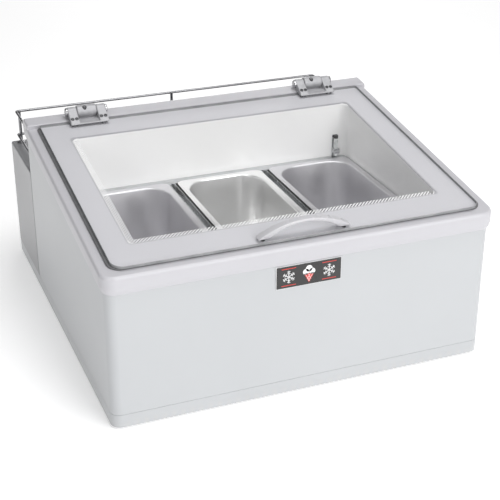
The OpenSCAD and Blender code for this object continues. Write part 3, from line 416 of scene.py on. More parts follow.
def drawn_out(bm, face, way):
    """Makes a face a solid by drawing it out along a way."""
    swept = bmesh.ops.extrude_face_region(bm, geom=[face])["geom"]
    moved = [v for v in swept if isinstance(v, bmesh.types.BMVert)]
    bmesh.ops.translate(bm, verts=moved, vec=way)
    bmesh.ops.recalc_face_normals(bm, faces=bm.faces)


def painted(bm, index):
    for face in bm.faces:
        face.material_index = index
    return bm


def outline(x0, x1, y0, y1, front_r, rear_r=None, steps=CORNER_STEPS):
    """Corner points of a rounded rectangle, in order, from a bevelled grid face."""
    bm = bmesh.new()
    bmesh.ops.create_grid(bm, x_segments=1, y_segments=1, size=0.5)
    bmesh.ops.translate(bm, verts=bm.verts, vec=(0.5, 0.5, 0))
    bmesh.ops.scale(bm, verts=bm.verts, vec=(x1 - x0, y1 - y0, 1))
    bmesh.ops.translate(bm, verts=bm.verts, vec=(x0, y0, 0))
    middle = (y0 + y1) / 2
    for rear, radius in ((False, front_r), (True, front_r if rear_r is None else rear_r)):
        corners = [v for v in bm.verts if (v.co.y > middle) == rear]
        bmesh.ops.bevel(bm, geom=corners, offset=radius, offset_type="OFFSET", segments=steps,
                        profile=0.5, affect="VERTICES", material=-1)
    bm.faces.ensure_lookup_table()
    points = [v.co.to_2d() for v in bm.faces[0].verts]
    bm.free()
    start = min(range(len(points)), key=lambda i: (round(points[i].x + points[i].y, 3),
                                                   round(points[i].x, 3)))
    return points[start:] + points[:start]


def lofted(levels, closed=False, cap_first=False, cap_last=False):
    """Bridges rings; a level is (outline, height) and the height may be a function of y."""
    bm = bmesh.new()
    rings = []
    for k, (points, height) in enumerate(levels):
        step = LEVEL_STEP * (k % 2)
        verts = [bm.verts.new((p.x, p.y, (height(p.y) if callable(height) else height) + step))
                 for p in points]
        rings.append([bm.edges.new((verts[i - 1], verts[i])) for i in range(len(verts))])
    pairs = list(zip(rings, rings[1:]))
    if closed:
        pairs.append((rings[-1], rings[0]))
    for a, b in pairs:
        bmesh.ops.bridge_loops(bm, edges=a + b)
    if cap_first:
        bmesh.ops.contextual_create(bm, geom=rings[0])
    if cap_last:
        bmesh.ops.contextual_create(bm, geom=rings[-1])
    bmesh.ops.recalc_face_normals(bm, faces=bm.faces)
    return bm


AXES = {"z": Matrix.Identity(4), "x": Matrix.Rotation(math.pi / 2, 4, "Y"),
        "y": Matrix.Rotation(-math.pi / 2, 4, "X")}


def lathed(profile, axis="z", place=(0, 0, 0), steps=32, index=0):
    """Spins (radius, distance) points round an axis through a place."""
    bm = bmesh.new()
    verts = [bm.verts.new((r, 0, h)) for r, h in profile]
    edges = [bm.edges.new(pair) for pair in zip(verts, verts[1:])]
    bmesh.ops.spin(bm, geom=verts + edges, cent=(0, 0, 0), axis=(0, 0, 1), angle=2 * math.pi,
                   steps=steps, use_merge=True)
    bmesh.ops.remove_doubles(bm, verts=bm.verts, dist=0.0005)
    bmesh.ops.recalc_face_normals(bm, faces=bm.faces)
    bm.transform(Matrix.Translation(place) @ AXES[axis])
    return painted(bm, index)


def block(x, y, z, round_off=0.0, segments=3, index=0):
    """A box between pairs of limits, its edges rounded."""
    bm = bmesh.new()
    bmesh.ops.create_cube(bm, size=1.0)
    bmesh.ops.scale(bm, verts=bm.verts, vec=(x[1] - x[0], y[1] - y[0], z[1] - z[0]))
    bmesh.ops.translate(bm, verts=bm.verts,
                        vec=((x[0] + x[1]) / 2, (y[0] + y[1]) / 2, (z[0] + z[1]) / 2))
    if round_off:
        round_edges(bm, bm.edges[:], round_off, segments)
    return painted(bm, index)


def copy_of(node):
    """The node's own mesh in mm, merged and with its flat faces made whole."""
    bm = bmesh.new()
    bm.from_mesh(nodes[node].data)
    bmesh.ops.scale(bm, verts=bm.verts, vec=(1 / MM, 1 / MM, 1 / MM))
    bmesh.ops.remove_doubles(bm, verts=bm.verts, dist=0.001)
    bmesh.ops.dissolve_limit(bm, angle_limit=FLAT_ANGLE, verts=bm.verts, edges=bm.edges)
    return bm


def rounded_copy(node, radius, segments=2):
    """The node's mesh with its sharp outer edges rounded off."""
    bm = copy_of(node)
    sharp = [e for e in bm.edges if len(e.link_faces) == 2 and e.is_convex
             and e.calc_face_angle(0.0) > SHARP_EDGE]
    round_edges(bm, sharp, radius, segments, clamp_overlap=True)
    return bm


def piece(name, bm, body, materials, stands_for=(), sharp=SMOOTH_ANGLE,
          evened=True):
    """Makes a bmesh a finished piece in metres: smooth but for its sharp edges."""
    bmesh.ops.scale(bm, verts=bm.verts, vec=(MM, MM, MM))
    for face in bm.faces:
        face.smooth = True
    for edge in bm.edges:
        if len(edge.link_faces) == 2 and edge.calc_face_angle(0.0) > sharp:
            edge.smooth = False
    mesh = bpy.data.meshes.new(name)
    bm.to_mesh(mesh)
    bm.free()
    made = bpy.data.objects.new(name, mesh)
    bpy.context.scene.collection.objects.link(made)
    for key in materials:
        mesh.materials.append(MATERIALS[key])
    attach(made, body)
    if stands_for:
        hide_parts(*stands_for)
    if evened:
        even = made.modifiers.new("even", "WEIGHTED_NORMAL")
        even.keep_sharp = True
    return made


def refinish(key, *names):
    """Gives CAD nodes whose shape is right their material."""
    for name in names:
        mesh = nodes[name].data
        mesh.materials.clear()
        mesh.materials.append(MATERIALS[key])


# ---------------------------------------------------------------- the cabinet's own sizes, mm

BODY_X = 350.0
FRONT_Y = -367.5
BODY_REAR = 187.5
REAR_Y = 373.5
TRAY_TOP = 28.0
FRONT_CORNER = 18.0
REAR_CORNER = 4.0
HOUSING_TOP = 253.0
COLLAR_OVER = 6.0
COLLAR_DROP = 8.0
COLLAR_T = 10.0
REAR_SKIRT = 0.3           # how far the collar's skirt stands proud of the body's rear
NEAR = 0.01                # two places this close are one
WELL_X = 284.0
WELL_Y = (-287.5, 89.5)
WELL_CORNER = 16.0
GLASS_X = 333.0
GLASS_L = 507.34
GLASS_T = 5.0
GLASS_CORNER = 22.0
HINGE_X = 238.0
AXIS_Y = 523.34
AXIS_UP = 12.0
PANEL_Y = 357.5
CONTROL_Z = 140.0
LOBE_SLOPE = math.radians(26.0)
PAN_PITCH = 193.0
PAN_MIDDLE_Y = -90.0
PAN_TOP = 239.0
HANDLE_Y = 15.0            # along the glass from its front edge
LEAF_HALF = 37.3
SEAT = 0.05                # gap under a casting
PLATE_Z = (210.0, 252.0)
KNOB_X, GLAND_X = -56.0, 44.0
LID = Matrix.Translation(GLASS_PLACE) @ Matrix.Rotation(GLASS_SLOPE, 4, "X")


def slope_height(depth):
    """World height of the plane that lies depth below the glass's top face, at a world y."""
    def height(y):
        return (GLASS_PLACE[2] - depth / math.cos(GLASS_SLOPE)
                + (y - GLASS_PLACE[1]) * math.tan(GLASS_SLOPE))
    return height


def on_glass(*parts, place=(0, 0, 0)):
    """Joins parts made flat at the glass's front edge, and lays them on its slope."""
    bm = joined(*parts)
    bm.transform(LID @ Matrix.Translation(place))
    return bm


def body_outline(grow, rear=0.0):
    return outline(-BODY_X - grow, BODY_X + grow, FRONT_Y - grow, BODY_REAR + rear,
                   FRONT_CORNER + grow, REAR_CORNER)


def build_skin():
    """Sheet skin: its inner face, its turned lower edge and its outer face."""
    sheet = 1.5
    top = slope_height(COLLAR_DROP + COLLAR_T + 0.2)
    levels = [(body_outline(-sheet, -sheet), top)]
    for inset, up in ((sheet, 0.3), (1.0, 0.05), (0.5, 0.2), (0.12, 0.6), (0.0, 1.2)):
        levels.append((body_outline(-inset, -inset), TRAY_TOP + up))
    levels.append((body_outline(0.0), top))
    piece("body_skin", lofted(levels, closed=True), "cabinet", ["white_enamel"],
          ["outer_skin"])


def build_tray():
    piece("tray", rounded_copy("base_tray", 0.8), "cabinet", ["white_enamel"], ["base_tray"])


def collar_ring():
    """Moulded ring: a skirt over the skin, and a lip round the well."""
    skirt = [(0.3, 20.0), (0.3, 41.9), (0.9, 42.0), (1.7, 41.6), (2.9, 39.6), (4.3, 36.4),
             (5.3, 33.2), (5.8, 30.6), (6.0, 28.4), (6.0, 14.6), (5.75, 12.4), (5.0, 10.4),
             (3.8, 9.0), (2.4, 8.25), (0.8, 8.0)]
    lip = [(2.5, 8.0), (1.2, 8.15), (0.3, 8.8), (0.0, 10.0), (0.0, 18.0)]
    levels = [(body_outline(grow, -1.3 if grow < 0.5 else REAR_SKIRT), slope_height(depth))
              for grow, depth in skirt]
    for grow, depth in lip:
        well = outline(-WELL_X - grow, WELL_X + grow, WELL_Y[0] - grow, WELL_Y[1] + grow,
                       WELL_CORNER + grow, WELL_CORNER + grow)
        levels.append((well, slope_height(depth)))
    ring = lofted(levels, closed=True)
    # painted light: faces round the well take the liner's brighter white over the shade they lie in
    near = 0.4
    for face in ring.faces:
        middle = face.calc_center_median()
        if (abs(middle.x) < WELL_X + near
                and WELL_Y[0] - near < middle.y < WELL_Y[1] + near):
            face.material_index = 1
    return ring


def collar_bridge():
    """Raised bar behind the glass, which the hinges stand on; in the glass's frame."""
    front, half, foot = GLASS_L + 4.0, BODY_X + COLLAR_OVER, -17.0
    rear = BODY_REAR + REAR_SKIRT - GLASS_PLACE[1]

    def rear_at(z):
        return (rear + z * math.sin(GLASS_SLOPE)) / math.cos(GLASS_SLOPE)
    side = ((front, -COLLAR_DROP - 1.5), (rear_at(foot), foot), (rear_at(0.0), 0.0), (front, 0.0))
    bm = bmesh.new()
    drawn_out(bm, bm.faces.new([bm.verts.new((-half, y, z)) for y, z in side]),
              (2 * half, 0, 0))
    back = [e for e in bm.edges if all(abs(v.co.z) < NEAR for v in e.verts)
            and abs(e.verts[0].co.x - e.verts[1].co.x) > 1 and e.verts[0].co.y > front + 5]
    round_edges(bm, back, 11.0, 8)
    fore = [e for e in bm.edges if all(abs(v.co.z) < NEAR and abs(v.co.y - front) < NEAR
                                       for v in e.verts)]
    round_edges(bm, fore, 1.6, 3)
    ends = [e for e in bm.edges if abs(abs(e.verts[0].co.x) - half) < NEAR
            and abs(e.verts[0].co.x - e.verts[1].co.x) < NEAR
            and min(v.co.z for v in e.verts) > -COLLAR_DROP]
    round_edges(bm, ends, 3.5, 4)
    bm.transform(LID)
    return bm


def build_collar():
    piece("collar", joined(collar_ring(), collar_bridge()), "cabinet",
          ["white_moulding", "tub_white_painted_light"], ["top_collar"])


def build_seal():
    """Soft strip round the glass's edge, left open under each hinge."""
    outer_x, inner_x, outer_y, inner_y, rear_w = 338.0, 328.0, 2.0, 10.0, 10.0
    inner_r, rear_r = 14.0, 5.0
    low, high, lip = -8.0, -5.05, 0.8
    levels = []
    for inset, z in ((lip, low), (0.0, -7.3), (0.0, -5.7), (lip, high)):
        levels.append((outline(-outer_x + inset, outer_x - inset, outer_y + inset,
                               GLASS_L - inset, GLASS_CORNER - inset, rear_r - inset), z))
    for inset, z in ((-lip, high), (0.0, -5.7), (0.0, -7.3), (-lip, low)):
        levels.append((outline(-inner_x + inset, inner_x - inset, inner_y + inset,
                               GLASS_L - rear_w - inset, inner_r - inset, rear_r - inset), z))
    bm = lofted(levels, closed=True)
    gap_half, rear_strip = 38.3, 480.0
    cuts = [side + way * gap_half for side in (-HINGE_X, HINGE_X) for way in (-1, 1)]
    for x in cuts:
        geom = bm.verts[:] + bm.edges[:] + bm.faces[:]
        bmesh.ops.bisect_plane(bm, geom=geom, plane_co=(x, 0, 0), plane_no=(1, 0, 0))
    gone = [f for f in bm.faces if f.calc_center_median().y > rear_strip
            and abs(abs(f.calc_center_median().x) - HINGE_X) < gap_half]
    bmesh.ops.delete(bm, geom=gone, context="FACES")
    for x in cuts:
        end = [e for e in bm.edges if e.is_boundary
               and all(abs(v.co.x - x) < NEAR for v in e.verts)]
        bmesh.ops.contextual_create(bm, geom=end)
    bmesh.ops.recalc_face_normals(bm, faces=bm.faces)
    bm.transform(LID)
    piece("seal", bm, "cabinet", ["seal_grey"], ["lid_seal"])


def build_glass():
    arris, rear_r = 0.7, 5.0
    levels = [(outline(-GLASS_X + i, GLASS_X - i, i, GLASS_L - i, GLASS_CORNER - i, rear_r - i), z)
              for i, z in ((arris, -GLASS_T), (0.0, -GLASS_T + arris), (0.0, -arris),
                           (arris, 0.0))]
    bm = lofted(levels, cap_first=True, cap_last=True)
    level = 0.95
    for face in bm.faces:
        up = face.normal.z
        face.material_index = 0 if up > level else 1 if up < -level else 2
    bm.transform(LID)
    piece("glass_pane", bm, "lid", ["pane_top", "pane_print", "pane_edge"],
          ["lid_glass"])


def build_handle():
    """Arched grip: two arcs, the inner one standing on a flat foot at each end."""
    span, rise, thick, width, foot = 85.0, 27.0, 6.0, 15.0, 22.0
    stations, end_share, foot_share = 48, 0.985, 0.80
    round_most, round_share, lift = 2.6, 0.42, 0.05
    reach, inner_rise = span - foot, rise - thick
    outer_r = (span ** 2 + rise ** 2) / (2 * rise)
    inner_r = (reach ** 2 + inner_rise ** 2) / (2 * inner_rise)
    outer_turn, inner_turn = math.asin(span / outer_r), math.asin(reach / inner_r)

    def on_arc(radius, top, turn):
        return Vector((radius * math.sin(turn), top - radius + radius * math.cos(turn)))

    bm = bmesh.new()
    rings = []
    for i in range(stations + 1):
        u = -end_share + 2 * end_share * i / stations
        outer = on_arc(outer_r, rise, u * outer_turn)
        if abs(u) <= foot_share:
            inner = on_arc(inner_r, inner_rise, u / foot_share * inner_turn)
        else:
            along = (abs(u) - foot_share) / (1 - foot_share) * foot
            inner = Vector((math.copysign(reach + along, u), 0.0))
        thickness = (outer - inner).length
        round_off = min(round_most, thickness * round_share)
        section = outline(-width / 2, width / 2, 0.0, thickness, round_off, round_off, 4)
        direction = (outer - inner).normalized()
        verts = []
        for p in section:
            spot = inner + direction * p.y
            verts.append(bm.verts.new((spot.x, HANDLE_Y + p.x, max(spot.y, lift))))
        rings.append([bm.edges.new((verts[k - 1], verts[k])) for k in range(len(verts))])
    for a, b in zip(rings, rings[1:]):
        bmesh.ops.bridge_loops(bm, edges=a + b)
    for ends in (rings[0], rings[-1]):
        bmesh.ops.contextual_create(bm, geom=ends)
    bmesh.ops.recalc_face_normals(bm, faces=bm.faces)
    bm.transform(LID)
    piece("handle_arch", bm, "lid", ["handle_white"], ["lid_handle"], sharp=math.radians(50))


def pan_mesh(x):
    """Pressed pan: turned-down rim, flat flange, drawn radius, drafted walls, dished floor."""
    half_x, half_y, flange, depth, mouth_r = 88.0, 162.5, 12.0, 150.0, 46.0
    draft, wall_r, floor_r, floor_steps = 3.0, 43.0, 22.0, 6
    wall_end = -depth + 26.0
    rim = [(0.25, -1.15, 14.0), (0.0, -0.8, 14.0), (0.0, -0.35, 14.0), (0.5, -0.05, 13.5),
           (1.4, 0.0, 12.6)]
    bend = [(flange - back, -drop, mouth_r + back) for back, drop in
            ((3.2, 0.0), (2.2, 0.15), (1.2, 0.7), (0.4, 1.7), (0.0, 3.2))]
    wall = [(flange + 1.2, -40.0, 45.0), (flange + draft, wall_end, wall_r)]
    for k in range(1, floor_steps + 1):
        turn = k / floor_steps * math.pi / 2
        inward = floor_r * (1 - math.cos(turn))
        wall.append((flange + draft + inward, wall_end - floor_r * math.sin(turn),
                     wall_r - inward * 0.9))
    wall.append((flange + 45.0, -depth + 2.6, 16.0))
    levels = [(outline(x - half_x + i, x + half_x - i, PAN_MIDDLE_Y - half_y + i,
                       PAN_MIDDLE_Y + half_y - i, r), PAN_TOP + z) for i, z, r in rim + bend + wall]
    return lofted(levels, cap_last=True)


def build_pans():
    # the outer pans' darker steel is painted shade
    for name, side, key in (("left", -1, "pan_dull_painted_shade"), ("centre", 0, "pan_steel"),
                            ("right", 1, "pan_dull_painted_shade")):
        made = piece(name + "_pan_bowl", pan_mesh(side * PAN_PITCH), name + "_pan", [key],
                     ["pan_" + name], evened=False)
        wall = made.modifiers.new("sheet", "SOLIDIFY")
        wall.thickness = 1.0 * MM
        wall.offset = -1.0


def cast(name, bm, body, stands_for):
    """A casting: its solids are melted together and its corners softened."""
    voxel, passes = 0.55, 5
    made = piece(name, bm, body, ["hinge_casting"], stands_for, sharp=math.radians(60),
                 evened=False)
    melt = made.modifiers.new("melt", "REMESH")
    melt.mode = "VOXEL"
    melt.voxel_size = voxel * MM
    melt.use_smooth_shade = True
    soften = made.modifiers.new("soften", "SMOOTH")
    soften.factor = 0.5
    soften.iterations = passes


def screw_head(x, y, z, radius=3.4, height=2.2, axis="z"):
    """Domed head with a round socket."""
    return lathed([(0.0, height - 1.3), (1.3, height - 1.3), (1.5, height - 1.1),
                   (1.6, height - 0.1), (1.9, height), (radius - 0.7, height - 0.05),
                   (radius - 0.15, height - 0.5), (radius, height - 1.2), (radius, 0.0)],
                  axis, (x, y, z), 24)


def screw_shaft(x, y, z, tip, top, radius=2.4, taper=0.3, point=0.5, axis="z"):
    return lathed([(0, tip), (radius - taper, tip), (radius, tip + point), (radius, top)],
                  axis, (x, y, z), 16)


def barrel(bore, end, middle=0.0):
    """Knuckle on the hinge's axis; end is its (radius, distance) points, from the end inwards."""
    half = end[0][1]
    near = [(r, -d) for r, d in end]
    return lathed([(bore, -half), *near, *end[::-1], (bore, half), (bore, -half)], "x",
                  (middle, 0, AXIS_UP), 48)


def bracket_parts():
    """The body's half of a hinge: the middle knuckle on a foot."""
    return [barrel(4.7, [(9.6, 19.0), (10.8, 18.6), (11.4, 17.4), (11.5, 14.0)]),
            block((-19, 19), (6.5, 20), (SEAT, 4.0), 0.8),
            block((-17.5, 17.5), (-6, -5.2), (SEAT, 4.0), 0.3),
            block((-18.5, 18.5), (5.4, 11.0), (SEAT, 9.0), 0.8),
            block((-18.8, 18.8), (-6.0, 19.0), (SEAT, 3.2), 0.6)]


def leaf_parts():
    """The lid's half: a leaf with a knuckle and a sloped lobe at each end."""
    knuckle_l, lobe_half, lobe_high, lobe_low = 18.0, 8.8, 17.5, 5.0
    parts = [block((-LEAF_HALF, LEAF_HALF), (-34, -16.2), (SEAT, 3.0), 0.7)]
    for side in (-1, 1):
        mid = side * (LEAF_HALF - knuckle_l / 2)
        parts.append(barrel(4.4, [(8.2, 8.9), (9.1, 8.4), (9.5, 7.4)], mid))
        lobe = block((mid - lobe_half, mid + lobe_half), (-32.0, -6.5), (1.0, lobe_high))
        for v in lobe.verts:
            if v.co.z > 10 and v.co.y < -20:
                v.co.z = lobe_low
        round_edges(lobe, lobe.edges[:], 1.6, 3)
        parts.append(lobe)
    return parts


def build_hinges():
    for name, x in (("left", -HINGE_X), ("right", HINGE_X)):
        place = (x, AXIS_Y, 0)
        cast("bracket_" + name, on_glass(*bracket_parts(), place=place), "cabinet",
             ["hinge_bracket_" + name])
        grub = lathed([(0.0, 10.5), (1.4, 10.5), (1.7, 11.1), (3.4, 11.4), (4.2, 10.8),
                       (4.5, 6.0), (0.0, 6.0)], "z", (-4.0, -5.2, AXIS_UP), 24)
        piece("grub_" + name, on_glass(grub, place=place), "cabinet", ["screw_steel"])
        cast("leaf_" + name, on_glass(*leaf_parts(), place=place), "lid",
             ["hinge_leaf_" + name])
        cap = [(0.0, 41.2), (6.6, 41.2), (7.9, 40.6), (8.5, 39.4), (8.5, 37.4), (3.6, 37.3)]
        pin = lathed([(r, -d) for r, d in cap] + cap[::-1], "x", (0, 0, AXIS_UP), 32)
        piece("pin_" + name, on_glass(pin, place=place), "lid", ["pin_steel"],
              ["hinge_pin_" + name])
    build_hinge_screws()
    build_handle_bolts()


def build_hinge_screws():
    heads, shafts, bracket = [], [], []
    for x in (-HINGE_X, HINGE_X):
        for k in (-32.2, -24.2, 24.2, 32.2):
            head = screw_head(0, 0, -1.2, 3.4, 2.4)
            head.transform(Matrix.Translation((x + k, AXIS_Y - 24.5, 8.9))
                           @ Matrix.Rotation(LOBE_SLOPE, 4, "X"))
            heads.append(head)
            shafts.append(screw_shaft(x + k, AXIS_Y - 26.0, 0, -7.4, 4.2, 2.4, 0.4, 0.4))
        for k in (-9.5, 9.5):
            bracket.append(screw_head(x + k, AXIS_Y + 15.0, 3.9, 3.9, 2.6))
            bracket.append(screw_shaft(x + k, AXIS_Y + 15.0, 0, -7.0, 4.0))
    piece("leaf_cap_screws", on_glass(*heads, *shafts), "lid", ["screw_steel"], ["leaf_screws"])
    piece("bracket_cap_screws", on_glass(*bracket), "cabinet", ["screw_steel"],
          ["bracket_screws"])


def build_handle_bolts():
    bolts = [lathed([(0, -7.0), (3.4, -7.0), (4.0, -6.5), (4.0, -5.0), (1.9, -4.9), (1.9, 3.8),
                     (0, 3.9)], "z", (x, HANDLE_Y, 0), 24) for x in (-74.0, 74.0)]
    piece("handle_bolts", on_glass(*bolts), "lid", ["screw_steel"], ["handle_screws"])


def flat_bar(p, q, width, y0, y1):
    """A thin bar on the plate from p to q, both (x, z)."""
    p, q = Vector(p), Vector(q)
    bm = bmesh.new()
    bmesh.ops.create_cube(bm, size=1.0)
    bmesh.ops.scale(bm, verts=bm.verts, vec=((q - p).length, y1 - y0, width))
    turn = math.atan2(q.y - p.y, q.x - p.x)
    middle = (p + q) / 2
    bm.transform(Matrix.Translation((middle.x, (y0 + y1) / 2, middle.y))
                 @ Matrix.Rotation(-turn, 4, "Y"))
    return bm


def disc(x, z, radius, y0, y1):
    return lathed([(0, y0), (radius, y0), (radius, y1), (0, y1)], "y", (x, 0, z), 28)


def plate_slab(inset, y_front, y_back, radius, index):
    x_half, arris = 60.0, 0.3
    rows = [(outline(-x_half + inset + i, x_half - inset - i, PLATE_Z[0] + inset + i,
                     PLATE_Z[1] - inset - i, radius, radius, 5), -y)
            for i, y in ((0.0, y_back), (0.0, y_front + arris), (arris, y_front))]
    bm = lofted(rows, cap_first=True, cap_last=True)
    bm.transform(Matrix.Rotation(math.pi / 2, 4, "X"))
    bmesh.ops.recalc_face_normals(bm, faces=bm.faces)
    return painted(bm, index)


def snowflake(x, z, y0, y1):
    """Six arms with two pairs of spurs on each."""
    hub, arm, spur_l, lean = Vector((x, z)), 11.5, 3.2, 1.0
    bars = []
    for k in range(6):
        turn = math.radians(30 + 60 * k)
        tip = Vector((math.cos(turn), math.sin(turn)))
        bars.append(flat_bar(hub, hub + tip * arm, 1.3, y0, y1))
        for reach in (5.2, 8.6):
            root = hub + tip * reach
            for side in (-1, 1):
                spur = Vector((math.cos(turn + side * lean), math.sin(turn + side * lean)))
                bars.append(flat_bar(root, root + spur * spur_l, 1.0, y0, y1))
    return bars


def build_plate():
    """Front plate with a plain pictogram: a cone of ice cream between two snowflakes."""
    back, front = FRONT_Y, FRONT_Y - 2.0
    bm = joined(plate_slab(0.0, front + 0.25, back, 2.0, 1),
                plate_slab(0.9, front, back - 0.4, 1.4, 0))
    piece("front_badge", bm, "cabinet", ["plate_black", "plate_rim"], ["front_plate"])
    y0, y1 = front - 0.25, front + 0.1
    mid_z = sum(PLATE_Z) / 2
    white, red = [], []
    for x in (-37.0, 37.0):
        white += snowflake(x, mid_z, y0, y1)
    for x, z, r in ((-5.6, 4.0, 5.6), (5.6, 4.0, 5.6), (0.0, 9.6, 6.0)):
        white.append(disc(x, mid_z + z, r, y0, y1))
    cone = bmesh.new()
    corners = ((-9.6, 1.0), (9.6, 1.0), (0.0, -16.0))
    drawn_out(cone, cone.faces.new([cone.verts.new((x, y1, mid_z + z)) for x, z in corners]),
              (0, y0 - y1, 0))
    red.append(cone)
    for side in (-1, 1):
        for k in (0.0, 1.0):
            white.append(flat_bar((side * (7.6 - 5.2 * k), mid_z + 0.8),
                                  (side * (-1.2 - 2.0 * k), mid_z - 13.6 + 3.5 * k), 0.55,
                                  y0 - 0.12, y1))
    for side in (-1, 1):
        for z in (mid_z - 15.5, mid_z + 15.5):
            red.append(flat_bar((side * 24.0, z), (side * 50.0, z), 1.3, y0, y1))
    piece("badge_frost_mark", joined(*white), "cabinet", ["plate_white"])
    piece("badge_cone_mark", joined(*red), "cabinet", ["plate_red"])


def build_probe():
    foot = (261.7, 82.95, 238.1)
    tube = lathed([(0, 0), (2.4, 0.3), (3.8, 1.4), (4.45, 3.4), (4.45, 36.5), (4.1, 37.0),
                   (4.1, 38.0), (4.45, 38.4), (4.45, 40.0), (0, 40.0)], "z", foot, 28)
    cap = lathed([(0, 39.6), (4.5, 39.6), (4.5, 41.0), (4.2, 41.3), (4.5, 41.7), (4.5, 43.0),
                  (4.2, 43.3), (4.5, 43.7), (4.5, 45.0), (3.8, 45.9), (0, 46.0)], "z", foot,
                 28, 1)
    bm = joined(tube, cap)
    piece("probe", bm, "cabinet", ["probe_metal", "black_plastic"], ["probe_tube"])
    piece("probe_spring", rounded_copy("probe_clip", 0.5), "cabinet", ["frame_steel"],
          ["probe_clip"])
    piece("probe_plate", rounded_copy("probe_bracket", 0.35), "cabinet", ["frame_steel"],
          ["probe_bracket"])


def cover_sheet():
    """A U over the machinery, folded from one sheet."""
    sheet, fold_r, fold_steps, hem_front, hem_rear = 1.5, 4.0, 6, 1.2, 1.1
    row = [Vector((-BODY_X, 0, TRAY_TOP))]
    for side in (-1, 1):
        arc = []
        for k in range(fold_steps + 1):
            turn = k / fold_steps * math.pi / 2
            arc.append(Vector((side * (BODY_X - fold_r + fold_r * math.cos(turn)), 0,
                               HOUSING_TOP - fold_r + fold_r * math.sin(turn))))
        row += arc if side < 0 else arc[::-1]
    row.append(Vector((BODY_X, 0, TRAY_TOP)))
    bm = bmesh.new()
    verts = [bm.verts.new(p + Vector((0, BODY_REAR + 0.1, 0))) for p in row]
    previous = [bm.edges.new(pair) for pair in zip(verts, verts[1:])]
    for step in (hem_front, REAR_Y - BODY_REAR - 2 * hem_front, hem_rear):
        swept = bmesh.ops.extrude_edge_only(bm, edges=previous)["geom"]
        bmesh.ops.translate(bm, verts=[v for v in swept if isinstance(v, bmesh.types.BMVert)],
                            vec=(0, step, 0))
        previous = [e for e in swept if isinstance(e, bmesh.types.BMEdge)]
    bmesh.ops.recalc_face_normals(bm, faces=bm.faces)
    centre = Vector((0, (BODY_REAR + REAR_Y) / 2, HOUSING_TOP / 2))
    if sum((f.calc_center_median() - centre).dot(f.normal) for f in bm.faces) < 0:
        bmesh.ops.reverse_faces(bm, faces=bm.faces)
    bmesh.ops.solidify(bm, geom=bm.faces[:], thickness=sheet)
    return bm


def build_housing():
    """The cover, with a flange round the rear panel's recess and a sill under it."""
    y0, y1 = PANEL_Y - 3.0, PANEL_Y - 1.55

    def edge(inset, low, corner):
        return outline(-BODY_X + inset, BODY_X - inset, TRAY_TOP + low, HOUSING_TOP - inset,
                       0.3, corner, 4)
    outer, inner = edge(1.4, 0.0, 3.0), edge(14.0, 0.4, 2.0)
    flange = lofted([(outer, -y1), (outer, -y0), (inner, -y0), (inner, -y1)], closed=True)
    flange.transform(Matrix.Rotation(math.pi / 2, 4, "X"))
    sill_x = BODY_X - 1.6
    sill = block((-sill_x, sill_x), (PANEL_Y + 0.1, REAR_Y - 0.1),
                 (TRAY_TOP + 0.1, TRAY_TOP + 1.1), 0.3)
    # the cover's darker enamel is painted shade
    piece("housing", joined(cover_sheet(), flange, sill), "cabinet", ["housing_enamel_painted_shade"],
          ["housing_cover"])


def build_rail():
    side_x, front_y, rear_y = 330.5, 201.5, 362.0
    feet, rods = [], []
    for x, y in ((-side_x, front_y), (side_x, front_y), (-side_x, rear_y), (0.0, rear_y),
                 (side_x, rear_y)):
        feet.append(lathed([(3.05, 0.05), (8.4, 0.05), (9.0, 0.5), (9.0, 1.2), (8.3, 1.8),
                            (5.0, 2.3), (4.0, 3.0), (3.05, 3.0), (3.05, 0.05)], "z",
                           (x, y, HOUSING_TOP), 28))
        rods.append(lathed([(0, -6.0), (2.6, -6.0), (3.0, -5.4), (3.0, 66.5), (2.6, 67.9),
                            (1.6, 68.4), (0, 68.5)], "z", (x, y, HOUSING_TOP), 20))
    piece("post_flanges", joined(*feet), "cabinet", ["rail_chrome"], ["rail_feet"])
    piece("posts", joined(*rods), "cabinet", ["rail_chrome"], ["rail_posts"])
    refinish("rail_chrome", "rail_top_wire", "rail_low_wire")


def build_rear():
    # the rear panel's darker enamel is painted shade
    piece("louvre_panel", rounded_copy("rear_panel", 0.3), "cabinet", ["housing_enamel_painted_shade"],
          ["rear_panel"])
    low, high, screw_x = 29.0, 251.0, 341.0
    screws = []
    for x in (-screw_x, screw_x):
        for share in (0.15, 0.5, 0.85):
            z = low + share * (high - low)
            screws.append(screw_head(x, PANEL_Y, z, 4.0, 2.1, "y"))
            screws.append(screw_shaft(x, PANEL_Y, z, -8, 0.2, 1.9, axis="y"))
    piece("panel_pan_screws", joined(*screws), "cabinet", ["screw_steel"], ["panel_screws"])


def fluted_knob():
    flutes, flute_depth, grip_r = 24, 0.025, 13.5
    knob = lathed([(0, 11.0), (9.8, 11.0), (10.8, 10.5), (11.0, 9.6), (11.4, 7.8), (12.6, 7.1),
                   (14.2, 6.9), (14.9, 6.2), (15.0, 5.0), (15.0, 1.0), (3.2, 1.0), (3.2, 8.9),
                   (0, 8.9)], "y", (KNOB_X, PANEL_Y, CONTROL_Z), 3 * flutes)
    for v in knob.verts:
        off = Vector((v.co.x - KNOB_X, v.co.z - CONTROL_Z))
        if off.length > grip_r:
            wave = 0.5 + 0.5 * math.cos(math.atan2(off.y, off.x) * flutes)
            scale = 1.0 - flute_depth * wave
            v.co.x, v.co.z = KNOB_X + off.x * scale, CONTROL_Z + off.y * scale
    return knob


